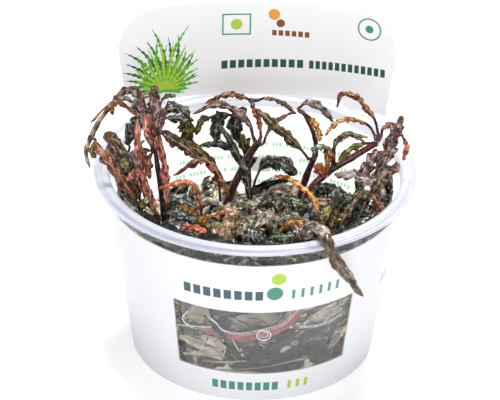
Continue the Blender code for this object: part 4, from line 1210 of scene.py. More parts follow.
def blades(net, across, up, count, reach, width, bend, seed):
    """A fan of pointed blades that grow from one point; each has its own length."""
    half_fan = 1.7
    distance = (across * across + up * up) ** 0.5
    heading = across.sum("ARCTAN2", across, up) + bend * distance
    blade_turn = 2 * half_fan / count
    place = (heading + half_fan) / blade_turn
    length = reach * (0.72 + 0.28 * dice(net, whole(place) + seed)) * (1 - 0.42 * abs(heading))
    off = abs((place % 1.0) - 0.5) * blade_turn * distance
    taper = distance / length
    lobes = 0.75 + 0.25 * (distance * 3.1).sum("SINE", distance * 3.1)
    half = width * (1 - taper) * (0.35 + taper * 2.0) * lobes
    return (off < half) * (taper < 1.0) * band(heading, -half_fan, half_fan)


# %% [markdown]
# ## The card's finishes
# Card is white with a fine tooth under a soft coat. The outside, the inside and the cut edge are three
# finishes on one sheet, because they are printed differently and take light differently. The
# inside of the sleeve also glows, since light that shines through thin card is slow to render.

# %% Finish the card's outside
GREY_INK = (0.45, 0.47, 0.46)
SLATE = (0.03, 0.085, 0.105)
TEAL = (0.055, 0.24, 0.18)
PINE = (0.02, 0.075, 0.06)
LIME = (0.38, 0.56, 0.05)
AMBER = (0.72, 0.3, 0.03)
BROWN = (0.22, 0.06, 0.012)
PALE_GREEN = (0.33, 0.62, 0.36)
LEAF_GREEN = (0.11, 0.4, 0.035)
DEEP_GREEN = (0.03, 0.13, 0.03)


def card_places(net):
    """Across, depth and height in millimetres."""
    place = own_place(net)
    return [axis(place, number) * 1000 for number in range(3)]


def card_stock(shader, net, pale, deep):
    """Coated card: cloudy between two whites, with a fine tooth and a soft shine."""
    place = own_place(net)
    fibre = noise(net, place, 2200.0, 3.0)
    cloud = noise(net, place, 25.0, 2.0)
    feed(shader, Roughness=0.42 + 0.1 * fibre, Normal=bumps(fibre, 0.12, 0.0002))
    feed(shader, Coat_Weight=0.15, Coat_Roughness=0.3)
    return (cloud * 0.5 + fibre * 0.3).mix(pale, deep)


SIDE_ROW = 69.0


def outside_card():
    """The outside is a little greyer round its sides than in front: painted shade."""
    material, shader, net = new_finish("card_outside")
    x, y, z = card_places(net)
    turn = x.sum("ARCTAN2", x, -1 * y) * (180 / math.pi)
    around = turn * MM_PER_DEGREE
    face = card_stock(shader, net, (0.815, 0.815, 0.845), (0.775, 0.775, 0.805))
    # Painted shade: the card greys as it turns away from the front, where less light falls on it.
    face = fade(abs(turn), 15.0, 60.0).mix(face, (0.69, 0.69, 0.725))
    # The front row has bold blocks, then thin ones, with two discs between.
    line = band(z, 41.8, 45.4)
    face = (line * blocks(turn, -29.0, 4.9, 8, 0.72)).mix(face, SLATE)
    face = (line * blocks(turn, 15.3, 38.6, 6, 0.34)).mix(face, TEAL)
    face = disc(around - 7.6, z - 50.2, 2.3).mix(face, LIME)
    face = disc(around - 6.6, z - 44.4, 2.6).mix(face, TEAL)
    # The low row near the foot comes in two greens, and a short row stands far round on the right.
    low_line = band(z, 4.3, 7.6)
    face = (low_line * blocks(turn, -18.4, 13.2, 8, 0.7)).mix(face, TEAL)
    face = (low_line * blocks(turn, 16.6, 28.6, 3, 0.42)).mix(face, LIME)
    side_marks = blocks(turn, SIDE_ROW, SIDE_ROW + 16.0, 5, 0.34) * band(z, 30.6, 34.6)
    feed(shader, Base_Color=side_marks.mix(face, TEAL))
    return material


# %% Finish the card's inside
ROW_FOOT = 24.0
ROW_STEP = 4.4
DASH_STEP = 1.15


def inside_card():
    """The inside glows, and most round the tub, where light comes through the card from all sides."""
    material, shader, net = new_finish("card_inside")
    x, y, z = card_places(net)
    paper = card_stock(shader, net, (0.84, 0.835, 0.84), (0.79, 0.785, 0.79))
    # Painted shade: near its foot, just above the rim, the header warms and darkens a little.
    paper = fade(z, 63.0, 76.0, 0.4, 0.0).mix(paper, (0.84, 0.8, 0.77))
    # Painted light: inside the tub, below the rim, the same card is given a whiter colour.
    in_tub = z < 62.0
    face = in_tub.mix(paper, (0.95, 0.95, 0.95))
    # Rows of fine dashes and one grey block show between the plants, on the far side.
    rows = band(z, ROW_FOOT, 50.0) * (((z - ROW_FOOT) % ROW_STEP) < 1.3) * (y > 0.0)
    dash = x / DASH_STEP
    chance = dice(net, whole(dash) + whole((z - ROW_FOOT) / ROW_STEP) * 37)
    dashes = rows * band(x, -27.0, 34.0) * ((dash % 1.0) < 0.6) * (chance > 0.2)
    face = dashes.mix(face, PALE_GREEN)
    face = (band(z, 37.0, 42.0) * band(x, -1.0, 5.0) * (y > 0.0)).mix(face, GREY_INK)
    # Three fans of blades in different greens lie over each other.
    across, up = x + 30.5, z - 66.5
    face = blades(net, across, up, 19, 27.0, 1.2, 0.016, 3.0).mix(face, DEEP_GREEN)
    face = blades(net, across, up, 17, 26.0, 1.2, -0.014, 11.0).mix(face, LEAF_GREEN)
    face = blades(net, across, up - 1.0, 13, 23.0, 0.8, 0.006, 29.0).mix(face, LIME)
    # A square frame round a disc, and two discs above a short row.
    square_x, square_z = abs(x + 7.0), abs(z - 88.6)
    face = ((square_x < 4.8) * (square_z < 3.7)).mix(face, TEAL)
    face = ((square_x < 4.3) * (square_z < 3.2)).mix(face, paper)
    face = disc(x + 7.0, z - 88.6, 1.9).mix(face, LIME)
    face = disc(x - 5.4, z - 92.2, 1.9).mix(face, AMBER)
    face = disc(x - 7.6, z - 89.2, 1.4).mix(face, BROWN)
    face = (band(z, 84.9, 86.8) * blocks(x, 4.8, 17.8, 6, 0.7)).mix(face, BROWN)
    # The long row slants a little, and a ring with a disc stands at the right.
    baseline = z - 0.0386 * (x + 11.8)
    long_rows = either(blocks(x, -11.8, 16.1, 10, 0.72), blocks(x, 17.3, 42.9, 12, 0.68))
    face = (band(baseline, 73.1, 75.9) * long_rows).mix(face, PINE)
    face = ring(x - 36.8, z - 90.9, 3.6, 0.5).mix(face, TEAL)
    face = disc(x - 36.8, z - 90.9, 1.3).mix(face, TEAL)
    glow = (in_tub * 0.72 + 0.28).mix((0, 0, 0), face)
    feed(shader, Base_Color=face, Emission_Color=glow, Emission_Strength=0.95)
    return material


# %% Finish the cut edge and add the card


def card_edge():
    """The cut edge is rough and a little yellower than the faces."""
    material, shader, net = new_finish("card_edge")
    fibre = noise(net, own_place(net), 2200.0, 3.0)
    feed(shader, Base_Color=fibre.mix((0.86, 0.85, 0.82), (0.7, 0.68, 0.64)))
    feed(shader, Roughness=0.8, Normal=bumps(fibre, 0.12, 0.0002))
    return material


CARD_FINISHES = [outside_card(), inside_card(), card_edge()]
add_piece("card_sheet", card_points, card_faces, CARD_FINISHES, "card_sleeve", marks=card_marks)
print("card finishes:", [finish.name for finish in CARD_FINISHES])

# %% [markdown]
# ## The growing jelly
# A clear jelly feeds the plants. It fills the bottom of the tub, climbs a little where it meets the
# wall and is slightly wavy on top. It is turned like the tub, and its top points are lifted by a
# slow wave. Its finish lets light through with a warm tint.

# %% Turn the jelly
JELLY_TOP = 14.0
JELLY_GAP = 0.35


def jelly_wave(x, y, height):
    """A slow wave for the top, which leaves the side and the foot as they are."""
    if height < JELLY_TOP - 1.5:
        return 0
    return 0.25 * math.sin(0.35 * x + 1) * math.cos(0.3 * y) - 0.25


jelly_profile = [(0, FLOOR_TOP + 0.3), (35.6, FLOOR_TOP + 0.3), (tub_inner(2.6) - JELLY_GAP, 2.6)]
jelly_profile += [(tub_inner(height) - JELLY_GAP, height) for height in (6, 10, JELLY_TOP)]
jelly_profile += [(radius, JELLY_TOP - 0.4) for radius in (38.0, 34, 28, 22, 16, 10, 4)]
jelly_profile += [(0, JELLY_TOP - 0.5)]
points, faces = turned_skin(rounded(jelly_profile, 0.6), 96, jelly_wave)
jelly_skin = clear_finish("clear_jelly", (0.62, 0.57, 0.42), 0.06, 1.34, 0.4)
add_piece("jelly_block", points, faces, [jelly_skin], "growing_jelly")
print("jelly:", JELLY_TOP, "mm high,", len(points), "points")

# %% [markdown]
# ## The bed of lower leaves
# Under the large leaves lies a tangle of older ones, dark and wet. A scan of it would be a lump; the
# eye reads it as leaves because edges and glints cross each other. So a dark lumpy core carries a few
# hundred small blades, which hide most of it.

# %% Shape the core of the bed
BED_BOTTOM = 14.4
BED_FRONT = 50.0
BED_BACK = 30.0


def bed_height(x, y):
    """Height of the bed, which is high in front and low at the back."""
    lumps = 1.6 * math.sin(0.33 * x + 1.0) * math.cos(0.29 * y) + 1.2 * math.sin(0.21 * x - 0.37 * y)
    return BED_FRONT + (BED_BACK - BED_FRONT) * float(smooth(-38, 34, y)) + lumps


def fold_wave(x, y, z):
    """A quick uneven wave that stands for folds between leaves."""
    slow = math.sin(0.9 * x + 0.4 * z) * math.cos(0.8 * y - 0.5 * z)
    return slow + 0.6 * math.sin(1.7 * x - 1.3 * y + 1.1 * z)


CORE_SIDES = 96
TOP_RINGS = 18
SIDE_RINGS = 14
CORE_BOTTOM = BED_BOTTOM + 0.1
CORE_ANGLES = [2 * math.pi * side / CORE_SIDES for side in range(CORE_SIDES)]
core_points = [(0, 0, bed_height(0, 0) - 1.5)]
for step in range(1, TOP_RINGS + 1):
    share = step / TOP_RINGS
    for angle in CORE_ANGLES:
        guess = bed_height(42 * share * math.sin(angle), -42 * share * math.cos(angle))
        radius = share * (tub_inner(guess) - 2.2)
        x, y = radius * math.sin(angle), -radius * math.cos(angle)
        drop = 3.0 * share**12
        core_points.append((x, y, bed_height(x, y) - 1.6 - drop + 0.7 * fold_wave(x, y, 0)))
core_edge = core_points[-CORE_SIDES:]
for step in range(1, SIDE_RINGS + 1):
    share = step / SIDE_RINGS
    for angle, (x, y, z) in zip(CORE_ANGLES, core_edge):
        height = z + (CORE_BOTTOM - z) * share
        radius = tub_inner(height) - 2.4 + 0.5 * fold_wave(x, y, height)
        core_points.append((radius * math.sin(angle), -radius * math.cos(angle), height))
core_points.append((0, 0, CORE_BOTTOM))


def core_finish():
    """Dark older leaves with painted shade deep in the tangle: near black in its folds, dull brown between
    them, and wet.
    """
    material, shader, net = new_finish("bed_core")
    folds = noise(net, own_place(net), 420.0, 4.0)
    share = fade(folds, 0.4, 0.65)
    # Painted shade: the folds are near black, for the shade deep among the leaves.
    feed(shader, Base_Color=share.mix((0.008, 0.007, 0.005), (0.055, 0.042, 0.022)))
    feed(shader, Roughness=0.25 + 0.3 * share, Normal=bumps(folds, 1.0, 0.0015))
    feed(shader, Coat_Weight=0.4, Coat_Roughness=0.15)
    return material


core_faces = turned_faces(TOP_RINGS + SIDE_RINGS, CORE_SIDES)
add_piece("bed_core_mound", core_points, core_faces, [core_finish()], "leaf_bed")
print("core:", len(core_points), "points")

# %% [markdown]
# ## The small leaves of the bed
# Hundreds of small leaves lie over each other, some pale and mottled, most dark and wet. A material
# for each would be slow, so they share one and pick a tint by their own number. Dark outlines, painted
# shadows, set them apart from their neighbours, as narrow shadows do in the real tangle. Their folds
# carry painted light and painted glints.

# %% Finish the small leaves
SMALL_TINTS = [
    (0.0, (0.004, 0.005, 0.003)),
    (0.3, (0.024, 0.026, 0.012)),
    (0.5, (0.13, 0.09, 0.01)),
    (0.65, (0.17, 0.09, 0.045)),
    (0.78, (0.34, 0.27, 0.17)),
    (0.88, (0.22, 0.045, 0.02)),
    (1.0, (0.65, 0.55, 0.36)),
]


def small_leaf_finish(name, strongest_painted_glint, coat):
    """One finish for many small leaves: each leaf's number picks its tint, its folds carry painted glints,
    and its edge is darkened as a painted shadow.
    """
    material, shader, net = new_finish(name)
    across, ahead, vein_near, chance = leaf_tag(net)
    streaks = leaf_streaks(net, across, ahead, chance)
    waves = noise(net, own_place(net), 400.0, 1.5)
    folds = streaks * 0.6 + waves * 0.4
    tint = net.node("ShaderNodeValToRGB", {"stops": SMALL_TINTS}, {0: chance + 0.15 * (waves - 0.5)})
    pale = (vein_near * vein_near * 0.4).mix(tint, (0.55, 0.5, 0.3))
    # Painted light and shade: the ridges of the folds are lightened and the hollows darkened.
    painted_fold_light = fade(folds, 0.4, 0.6, 0.2, 2.2)
    shade = net.node("ShaderNodeHueSaturation", {}, {"Value": painted_fold_light, "Color": pale})
    # Painted glints on the highest ridges, weaker on leaves of high number.
    painted_glint = fade(folds, 0.565, 0.62, 0.0, strongest_painted_glint)
    shade = (painted_glint * (1 - 0.4 * chance)).mix(shade, (0.9, 0.87, 0.78))
    # A painted shadow: each leaf's edge darkens to near black, as the narrow shadows between leaves do.
    shade = fade(across, 0.62, 0.9, 0.0, 0.93).mix(shade, (0.006, 0.006, 0.004))
    bump = bumps(streaks * 0.5 + waves * 0.5, 1.0, 0.0007)
    feed(shader, Base_Color=shade, Roughness=0.08 + 0.2 * waves, Normal=bump, Specular_IOR_Level=0.4)
    feed(shader, Coat_Weight=3.0 * (waves - 0.35), Coat_Roughness=0.1, Coat_IOR=coat)
    return material


small_leaf = small_leaf_finish("small_leaf", 0.9, 1.8)
wall_leaf = small_leaf_finish("wall_leaf", 0.3, 1.5)
print("tints of the small leaves:", len(SMALL_TINTS))

# %% Lay small leaves on the bed
# Most leaves lie at random on the core, and the others stand up at its sides.
LYING_LEAVES = 250
STANDING_LEAVES = 70


def small_skin(spine, width, face, tint, number, lobes, stalk=0.14, pucker=0.2):
    """A leaf's skin in few points, with the leaf's own tint in its tags."""
    points, faces, tags = leaf_skin(spine, width, lobes, face, stalk, 5, 7, number, pucker, 0.14)
    tags[:, 3] = tint
    return points, faces, tags


draw = random.Random(41)
skins = []
while len(skins) < LYING_LEAVES:
    angle = draw.uniform(0, 2 * math.pi)
    radius = 43 * math.sqrt(draw.uniform(0, 1))
    middle = Vector((radius * math.sin(angle), -radius * math.cos(angle)))
    heading = Vector((1, 0))
    heading.rotate(Matrix.Rotation(draw.uniform(0, 2 * math.pi), 2))
    length = draw.uniform(13, 27)
    arch = draw.uniform(0.5, 4.5)
    spine = []
    for share, lift in ((-0.5, -2.5), (-0.17, arch), (0.17, arch), (0.5, draw.uniform(-2, 1))):
        spot = middle + heading * length * share
        height = bed_height(*spot) + lift + draw.uniform(0, 0.8)
        limit = tub_inner(height) - 2.2
        if spot.length > limit:
            spot *= limit / spot.length
        spine.append((*spot, height))
    if (Vector(spine[0]) - Vector(spine[-1])).length < 6:
        continue
    face = (draw.uniform(-0.6, 0.6), draw.uniform(-1.0, 0.1), 1)
    tint = draw.choice((0.05, 0.1, 0.2, 0.3, 0.45, 0.55, 0.72, 0.8, 0.95)) + draw.uniform(-0.05, 0.05)
    skins.append(small_skin(spine, draw.uniform(3.6, 7.4), face, tint, len(skins), draw.choice((2, 3))))
print("leaves that lie on the bed:", len(skins))

# %% Stand small leaves at the sides of the bed
for _ in range(STANDING_LEAVES):
    side = draw.choice((-1, 1, 1))
    angle = math.radians(side * draw.uniform(38, 128))
    radius = draw.uniform(26, 41)
    foot = Vector((radius * math.sin(angle), -radius * math.cos(angle), 0))
    foot.z = bed_height(foot.x, foot.y) - 1
    rise = draw.uniform(6, 15) if side > 0 else draw.uniform(4, 9)
    sway = Vector((math.cos(angle), math.sin(angle), 0)) * draw.uniform(-9, 9)
    spine = []
    for share, lift in ((0, 0), (0.3, 0.55), (0.65, 0.95), (1, draw.uniform(0.75, 1.1))):
        spot = foot + sway * share + Vector((0, 0, rise * lift))
        limit = (tub_inner(spot.z) - 3) / math.hypot(spot.x, spot.y)
        spine.append((spot.x * min(limit, 1), spot.y * min(limit, 1), spot.z))
    face = (-math.sin(angle), min(math.cos(angle) - 1, -0.4), 0.6)
    tint = draw.choice((0.15, 0.25, 0.35, 0.45, 0.6, 0.72, 0.78)) + draw.uniform(-0.04, 0.04)
    skins.append(small_skin(spine, draw.uniform(3.0, 5.5), face, tint, len(skins), 3, pucker=0.3))
add_gathered("bed_small_leaves", skins, small_leaf)

# %% [markdown]
# ## Leaves against the wall
# Through the window and through the clear band under the rim the same tangle is seen from the side,
# pressed flat on the wet wall. Here the blades follow the wall's own curve, so each is laid by an
# angle and a height and faces outwards.

# %% Press small leaves on the wall


def wall_place(turn, height, gap):
    """A place on the inside of the wall, or a gap away from it."""
    radius = tub_inner(height) - gap
    return (radius * math.sin(math.radians(turn)), -radius * math.cos(math.radians(turn)), height)


def wall_face(turn):
    return (math.sin(math.radians(turn)), -math.cos(math.radians(turn)), -0.1)


# The leaves behind the window, in the band under the rim and at the back: how many, between which
# turns and heights, and how pale.
ZONES = [(110, -48, 58, 10.5, 38, 1.0), (150, -110, 110, 49, 60, 0.3), (60, 60, 300, 18, 36, 1.0)]
draw = random.Random(67)
skins = []
for amount, first_turn, last_turn, lowest, highest, paleness in ZONES:
    for _ in range(amount):
        turn = draw.uniform(first_turn, last_turn)
        height = draw.uniform(lowest, highest)
        length = draw.uniform(11, 24)
        slope = math.radians(draw.uniform(-50, 50))
        gap = draw.uniform(1.6, 3.4)
        spine = []
        for share in (-0.5, -0.17, 0.17, 0.5):
            step = share * length
            level = min(max(height + step * math.sin(slope), 10.0), highest + 1.0)
            spine.append(wall_place(turn + step * math.cos(slope) / MM_PER_DEGREE, level, gap))
        tint = draw.choice((0.05, 0.1, 0.2, 0.3, 0.42, 0.5, 0.6, 0.76, 0.97)) + draw.uniform(-0.04, 0.04)
        lobes = draw.choice((1, 2, 2))
        number = len(skins)
        width = draw.uniform(3.5, 8.0)
        skins.append(small_skin(spine, width, wall_face(turn), tint * paleness, number, lobes, 0.14, 0.08))
add_gathered("wall_leaves", skins, wall_leaf)

# %% [markdown]
# ## What the window shows
# In the window a red stem crosses behind the wall, pale roots lie at the bottom, dark creases cross,
# and films of wet jelly stick to the plastic. The edges of those films catch the light in bright curved
# lines, and one bubble shows as a small ring; these bright lines are painted highlights, and the dark
# creases are painted shadows. All of them could be drawn on the wall as a picture, but then they would
# shine like the wall. So each is a thin rod laid along it, through pairs of a turn from the front, in
# degrees, and a height.

# %% Finish the thin lines


def wall_rod(path, gap, foot_width, tip_width, rings=40, sides=8, wobble=0.06, seed=0):
    """A rod through pairs of a turn and a height, at a gap from the inside of the wall."""
    places = [wall_place(turn, height, gap) for turn, height in path]
    return rod_skin(places, foot_width, tip_width, rings, sides, 0, wobble, seed)


def line_finish(name, pale, deep, rough, glow=0.0):
    """A wet, spotted finish; the glow stands for light that a pale thin thing gathers."""
    material, shader, net = new_finish(name)
    spots = noise(net, own_place(net), 700.0, 2.0)
    feed(shader, Base_Color=spots.mix(pale, deep), Roughness=rough + 0.1 * spots)
    feed(shader, Normal=bumps(spots, 0.3, 0.0002), Coat_Weight=0.4)
    feed(shader, Emission_Color=(1, 1, 1, 1), Emission_Strength=glow)
    return material


pale_root = line_finish("pale_root", (0.85, 0.8, 0.55), (0.6, 0.5, 0.22), 0.3, glow=0.1)
# Painted highlights: the film edges and the bubble's ring are near-white, glowing rods for the glints along
# them.
film_edge_glint = line_finish("jelly_film_edge", (0.98, 0.98, 0.96), (0.85, 0.85, 0.82), 0.1, glow=0.35)
# Painted shadows: the creases are near-black rods.
dark_crease = line_finish("dark_crease", (0.012, 0.011, 0.008), (0.03, 0.026, 0.016), 0.3)
red_stem = stem_finish("window_stem_skin", (0.22, 0.03, 0.022), (0.8, 0.14, 0.095), 0.25)
print("window finishes:", [finish.name for finish in (pale_root, film_edge_glint, dark_crease, red_stem)])

# %% List the lines
ROOTS = [
    [(-24.5, 12.7), (-14.7, 13.7), (-2.8, 15.2)],
    [(-17.8, 9.8), (-5.5, 11.7), (8.2, 13.0), (24.6, 14.3)],
    [(-35.7, 24.6), (-25.8, 26.5), (-16.4, 28.4)],
    [(-13.5, 23.9), (-12.7, 19.0), (-14.2, 15.4)],
    [(-9.0, 23.6), (-6.4, 19.6), (-4.2, 17.2), (-5.5, 20.5)],
    [(28.7, 30.9), (34.5, 31.9), (43.5, 32.2)],
    [(15.7, 31.6), (18.6, 34.5), (20.5, 36.6)],
]
# Paths of the creases, which are laid as painted shadows.
CREASE_SHADE_LINES = [
    [(-31.2, 22.2), (-23.8, 21.6), (-17.8, 19.0), (-13.7, 17.2)],
    [(-20.3, 23.6), (-22.0, 19.5), (-24.8, 15.1)],
    [(-26.2, 16.5), (-20.6, 19.8), (-15.3, 23.2)],
    [(-9.0, 33.6), (-5.5, 32.0), (-1.3, 30.7), (3.7, 31.6), (8.9, 29.7)],
    [(-2.0, 33.4), (2.5, 33.0), (6.0, 31.2), (10.5, 31.4)],
    [(-34.0, 30.5), (-33.5, 26.0), (-34.5, 22.0)],
]
# Paths of the films' edges, which are laid as painted highlights.
FILMS = [
    [(-20.7, 32.6), (-16.4, 30.1), (-13.4, 27.6), (-5.5, 26.8), (3.9, 28.7), (13.2, 30.6), (16.3, 34.8)],
    [(20.5, 28.4), (30.2, 27.2), (38.0, 27.6), (43.0, 28.4)],
    [(22.7, 29.2), (30.3, 33.0), (38.2, 34.5)],
    [(-29.7, 32.1), (-32.7, 28.0), (-28.3, 26.3), (-18.7, 27.6)],
]
STEM_IN_WINDOW = [(-24, 25.7), (-13.4, 24.7), (-3.4, 24.8), (6.5, 26.5), (13.8, 28.5), (18.4, 32), (22, 37.5)]
print("roots, creases and film edges:", len(ROOTS), len(CREASE_SHADE_LINES), len(FILMS))

# %% Lay the roots and the edges of the films
skins = [wall_rod(path, 0.65, 0.55, 0.4, seed=number) for number, path in enumerate(ROOTS)]
add_gathered("window_roots", skins, pale_root)


def loop(turn, height, half_turn, half_height, end, steps):
    """Points round a centre, from its top to an end angle."""
    angles = np.linspace(0, end, steps)
    return [(turn + half_turn * math.sin(angle), height + half_height * math.cos(angle)) for angle in angles]


# The film edges and the bubble's ring are painted highlights.
skins = [wall_rod(path, 0.4, 0.36, 0.16, 60, wobble=0.45, seed=number) for number, path in enumerate(FILMS)]
for number, path in enumerate(FILMS):
    beside = [(turn + 0.5, height - 0.75) for turn, height in path]
    skins.append(wall_rod(beside, 0.5, 0.2, 0.12, 60, wobble=0.5, seed=10 + number))
skins.append(wall_rod(loop(4.8, 26.2, 3.1, 2.0, 2 * math.pi, 17), 0.4, 0.34, 0.34, 64, wobble=0.4))
skins.append(wall_rod(loop(4.8, 26.3, 1.9, 1.1, 5.2, 13), 0.5, 0.28, 0.14, 48, wobble=0.5))
add_gathered("window_film_edges", skins, film_edge_glint)

# %% Lay the dark creases and the red stem
# The creases are painted shadows.
skins = [wall_rod(path, 0.3, 0.34, 0.16, wobble=0.3, seed=number) for number, path in enumerate(CREASE_SHADE_LINES)]
add_gathered("window_dark_lines", skins, dark_crease)
add_gathered("window_stem", [wall_rod(STEM_IN_WINDOW, 1.9, 2.6, 3.2, 50, 14, 0.03)], red_stem)

# %% [markdown]
# ## Undersides against the window
# Here and there a broad leaf turns its pale underside to the plastic, and a few narrow dark ones lie
# among them. They are the same small blades as before, with no lobes and hardly any pucker, because
# the wall presses them flat. Each has its own width and a tint from near black to cream.

# %% Finish the undersides
UNDERSIDE_TINTS = [
    (0.0, (0.006, 0.007, 0.005)),
    (0.4, (0.05, 0.048, 0.034)),
    (0.7, (0.36, 0.3, 0.2)),
    (1.0, (0.95, 0.84, 0.64)),
]


def underside_finish():
    """Smoother and duller than a leaf's face, with dark veins, tinted by the leaf's number, and glowing
    faintly as painted light.
    """
    material, shader, net = new_finish("leaf_underside")
    _, _, vein_near, chance = leaf_tag(net)
    waves = noise(net, own_place(net), 260.0, 2.0)
    tint = net.node("ShaderNodeValToRGB", {"stops": UNDERSIDE_TINTS}, {0: chance + 0.5 * (waves - 0.5)})
    shade = (vein_near * 0.5).mix(tint, (0.03, 0.028, 0.02))
    feed(shader, Base_Color=shade, Roughness=0.35 + 0.2 * waves, Normal=bumps(waves, 0.6, 0.001))
    # Painted light: a faint glow in the leaf's own colour stands for light that reaches it through the wall.
    feed(shader, Emission_Color=shade, Emission_Strength=0.1)
    return material


underside = underside_finish()
print("tints of the undersides:", len(UNDERSIDE_TINTS))

# %% Lay the undersides
# Four pairs of a turn and a height, the width and the tint.
UNDERSIDES = [
    ((-35, 20.5), (-30, 20.2), (-22, 20.0), (-12.0, 19.1), 7.0, 0.84),
    ((-34, 13.5), (-25, 15.0), (-18, 16.2), (-12.8, 16.5), 5.0, 0.82),
    ((-31, 29.0), (-27.5, 31.6), (-23, 32.0), (-18, 30.0), 7.0, 0.78),
    ((-11.0, 32.5), (-4, 31.6), (4, 31.8), (12, 33.0), 7.0, 0.68),
    ((21, 20.5), (25, 22.4), (29, 23.8), (36, 24.3), 4.0, 0.4),
    ((4, 19.5), (10, 21.2), (15, 23.2), (20, 25.0), 4.6, 0.2),
    ((26, 15.6), (30, 16.8), (34, 17.6), (40, 17.2), 3.4, 0.3),
    ((13.0, 18.8), (14.5, 19.3), (16, 19.9), (17.5, 20.6), 2.2, 1.0),
    ((22, 28.8), (28, 30.2), (34, 30.4), (42, 29.8), 4.6, 0.8),
    ((-4, 16.0), (3, 17.6), (9, 17.4), (14, 16.0), 5.0, 0.08),
]
DARK_LEAVES = [
    ((-21.6, 32.4), (-18.2, 30.2), (-15.2, 26.5), (-11.7, 22.4), 2.6, 0.0),
    ((-13.0, 22.5), (-11.0, 20.5), (-8.0, 19.0), (-3.5, 18.8), 2.2, 0.0),
    ((36.5, 18.0), (38.6, 21.5), (39.6, 25.5), (40.5, 28.5), 2.0, 0.0),
]


def pressed(leaves, gap, pucker, first_number):
    """Skins of leaves that the wall presses flat."""
    made = []
    for number, (*path, width, tint) in enumerate(leaves, first_number):
        places = [wall_place(turn, height, gap) for turn, height in path]
        made.append(small_skin(places, width, wall_face(path[1][0]), tint, number, 1, 0.08, pucker))
    return made


skins = pressed(UNDERSIDES, 0.55, 0.05, 0) + pressed(DARK_LEAVES, 0.4, 0.03, 20)
add_gathered("window_pale_undersides", skins, underside)

# %% [markdown]
# ## A painted reflection in the window
# A pale veil greys the middle of the window; its two upright ends are clearly seen. It is the
# reflection of a soft lamp in the clear wall, painted here. A fog in the tub would grey the leaves
# everywhere, so the veil is a curved strip just inside the wall with an almost clear, slightly white finish.

# %% Lay the painted reflection
VEIL_TURNS = (-32.4, 41.0)
VEIL_HEIGHTS = (10.0, 38.0)


def painted_veil_finish():
    material, shader, net = new_finish("moist_film")
    # A painted reflection: an almost clear, slightly white strip just inside the wall.
    cloud = noise(net, own_place(net), 120.0, 2.0)
    feed(shader, Base_Color=cloud.mix((0.97, 0.97, 1.0), (0.9, 0.9, 0.93)), Roughness=0.02 * cloud)
    feed(shader, IOR=1.01, Transmission_Weight=0.92)
    return material


row = 37
points = []
for gap in (0.1, 0.25):
    for height in VEIL_HEIGHTS:
        points += [wall_place(turn, height, gap) for turn in np.linspace(*VEIL_TURNS, row)]
faces = []
for step in range(row - 1):
    near = (step, step + 1, row + step + 1, row + step)
    far = tuple(2 * row + corner for corner in near)
    faces += [near, tuple(reversed(far))]
    faces += [(near[1], near[0], far[0], far[1]), (near[3], near[2], far[2], far[3])]
faces += [(0, row, 3 * row, 2 * row), (row - 1, 3 * row - 1, 4 * row - 1, 2 * row - 1)]
add_piece("moist_film", points, faces, [painted_veil_finish()])
print("film:", len(points), "points")

# %% [markdown]
# ## Young leaves
# About four dozen young leaves are too small, or too many, to be solids of their own. They use the
# same blade as the large leaves, and each foot lies in the bed, among other leaves or on a stem.

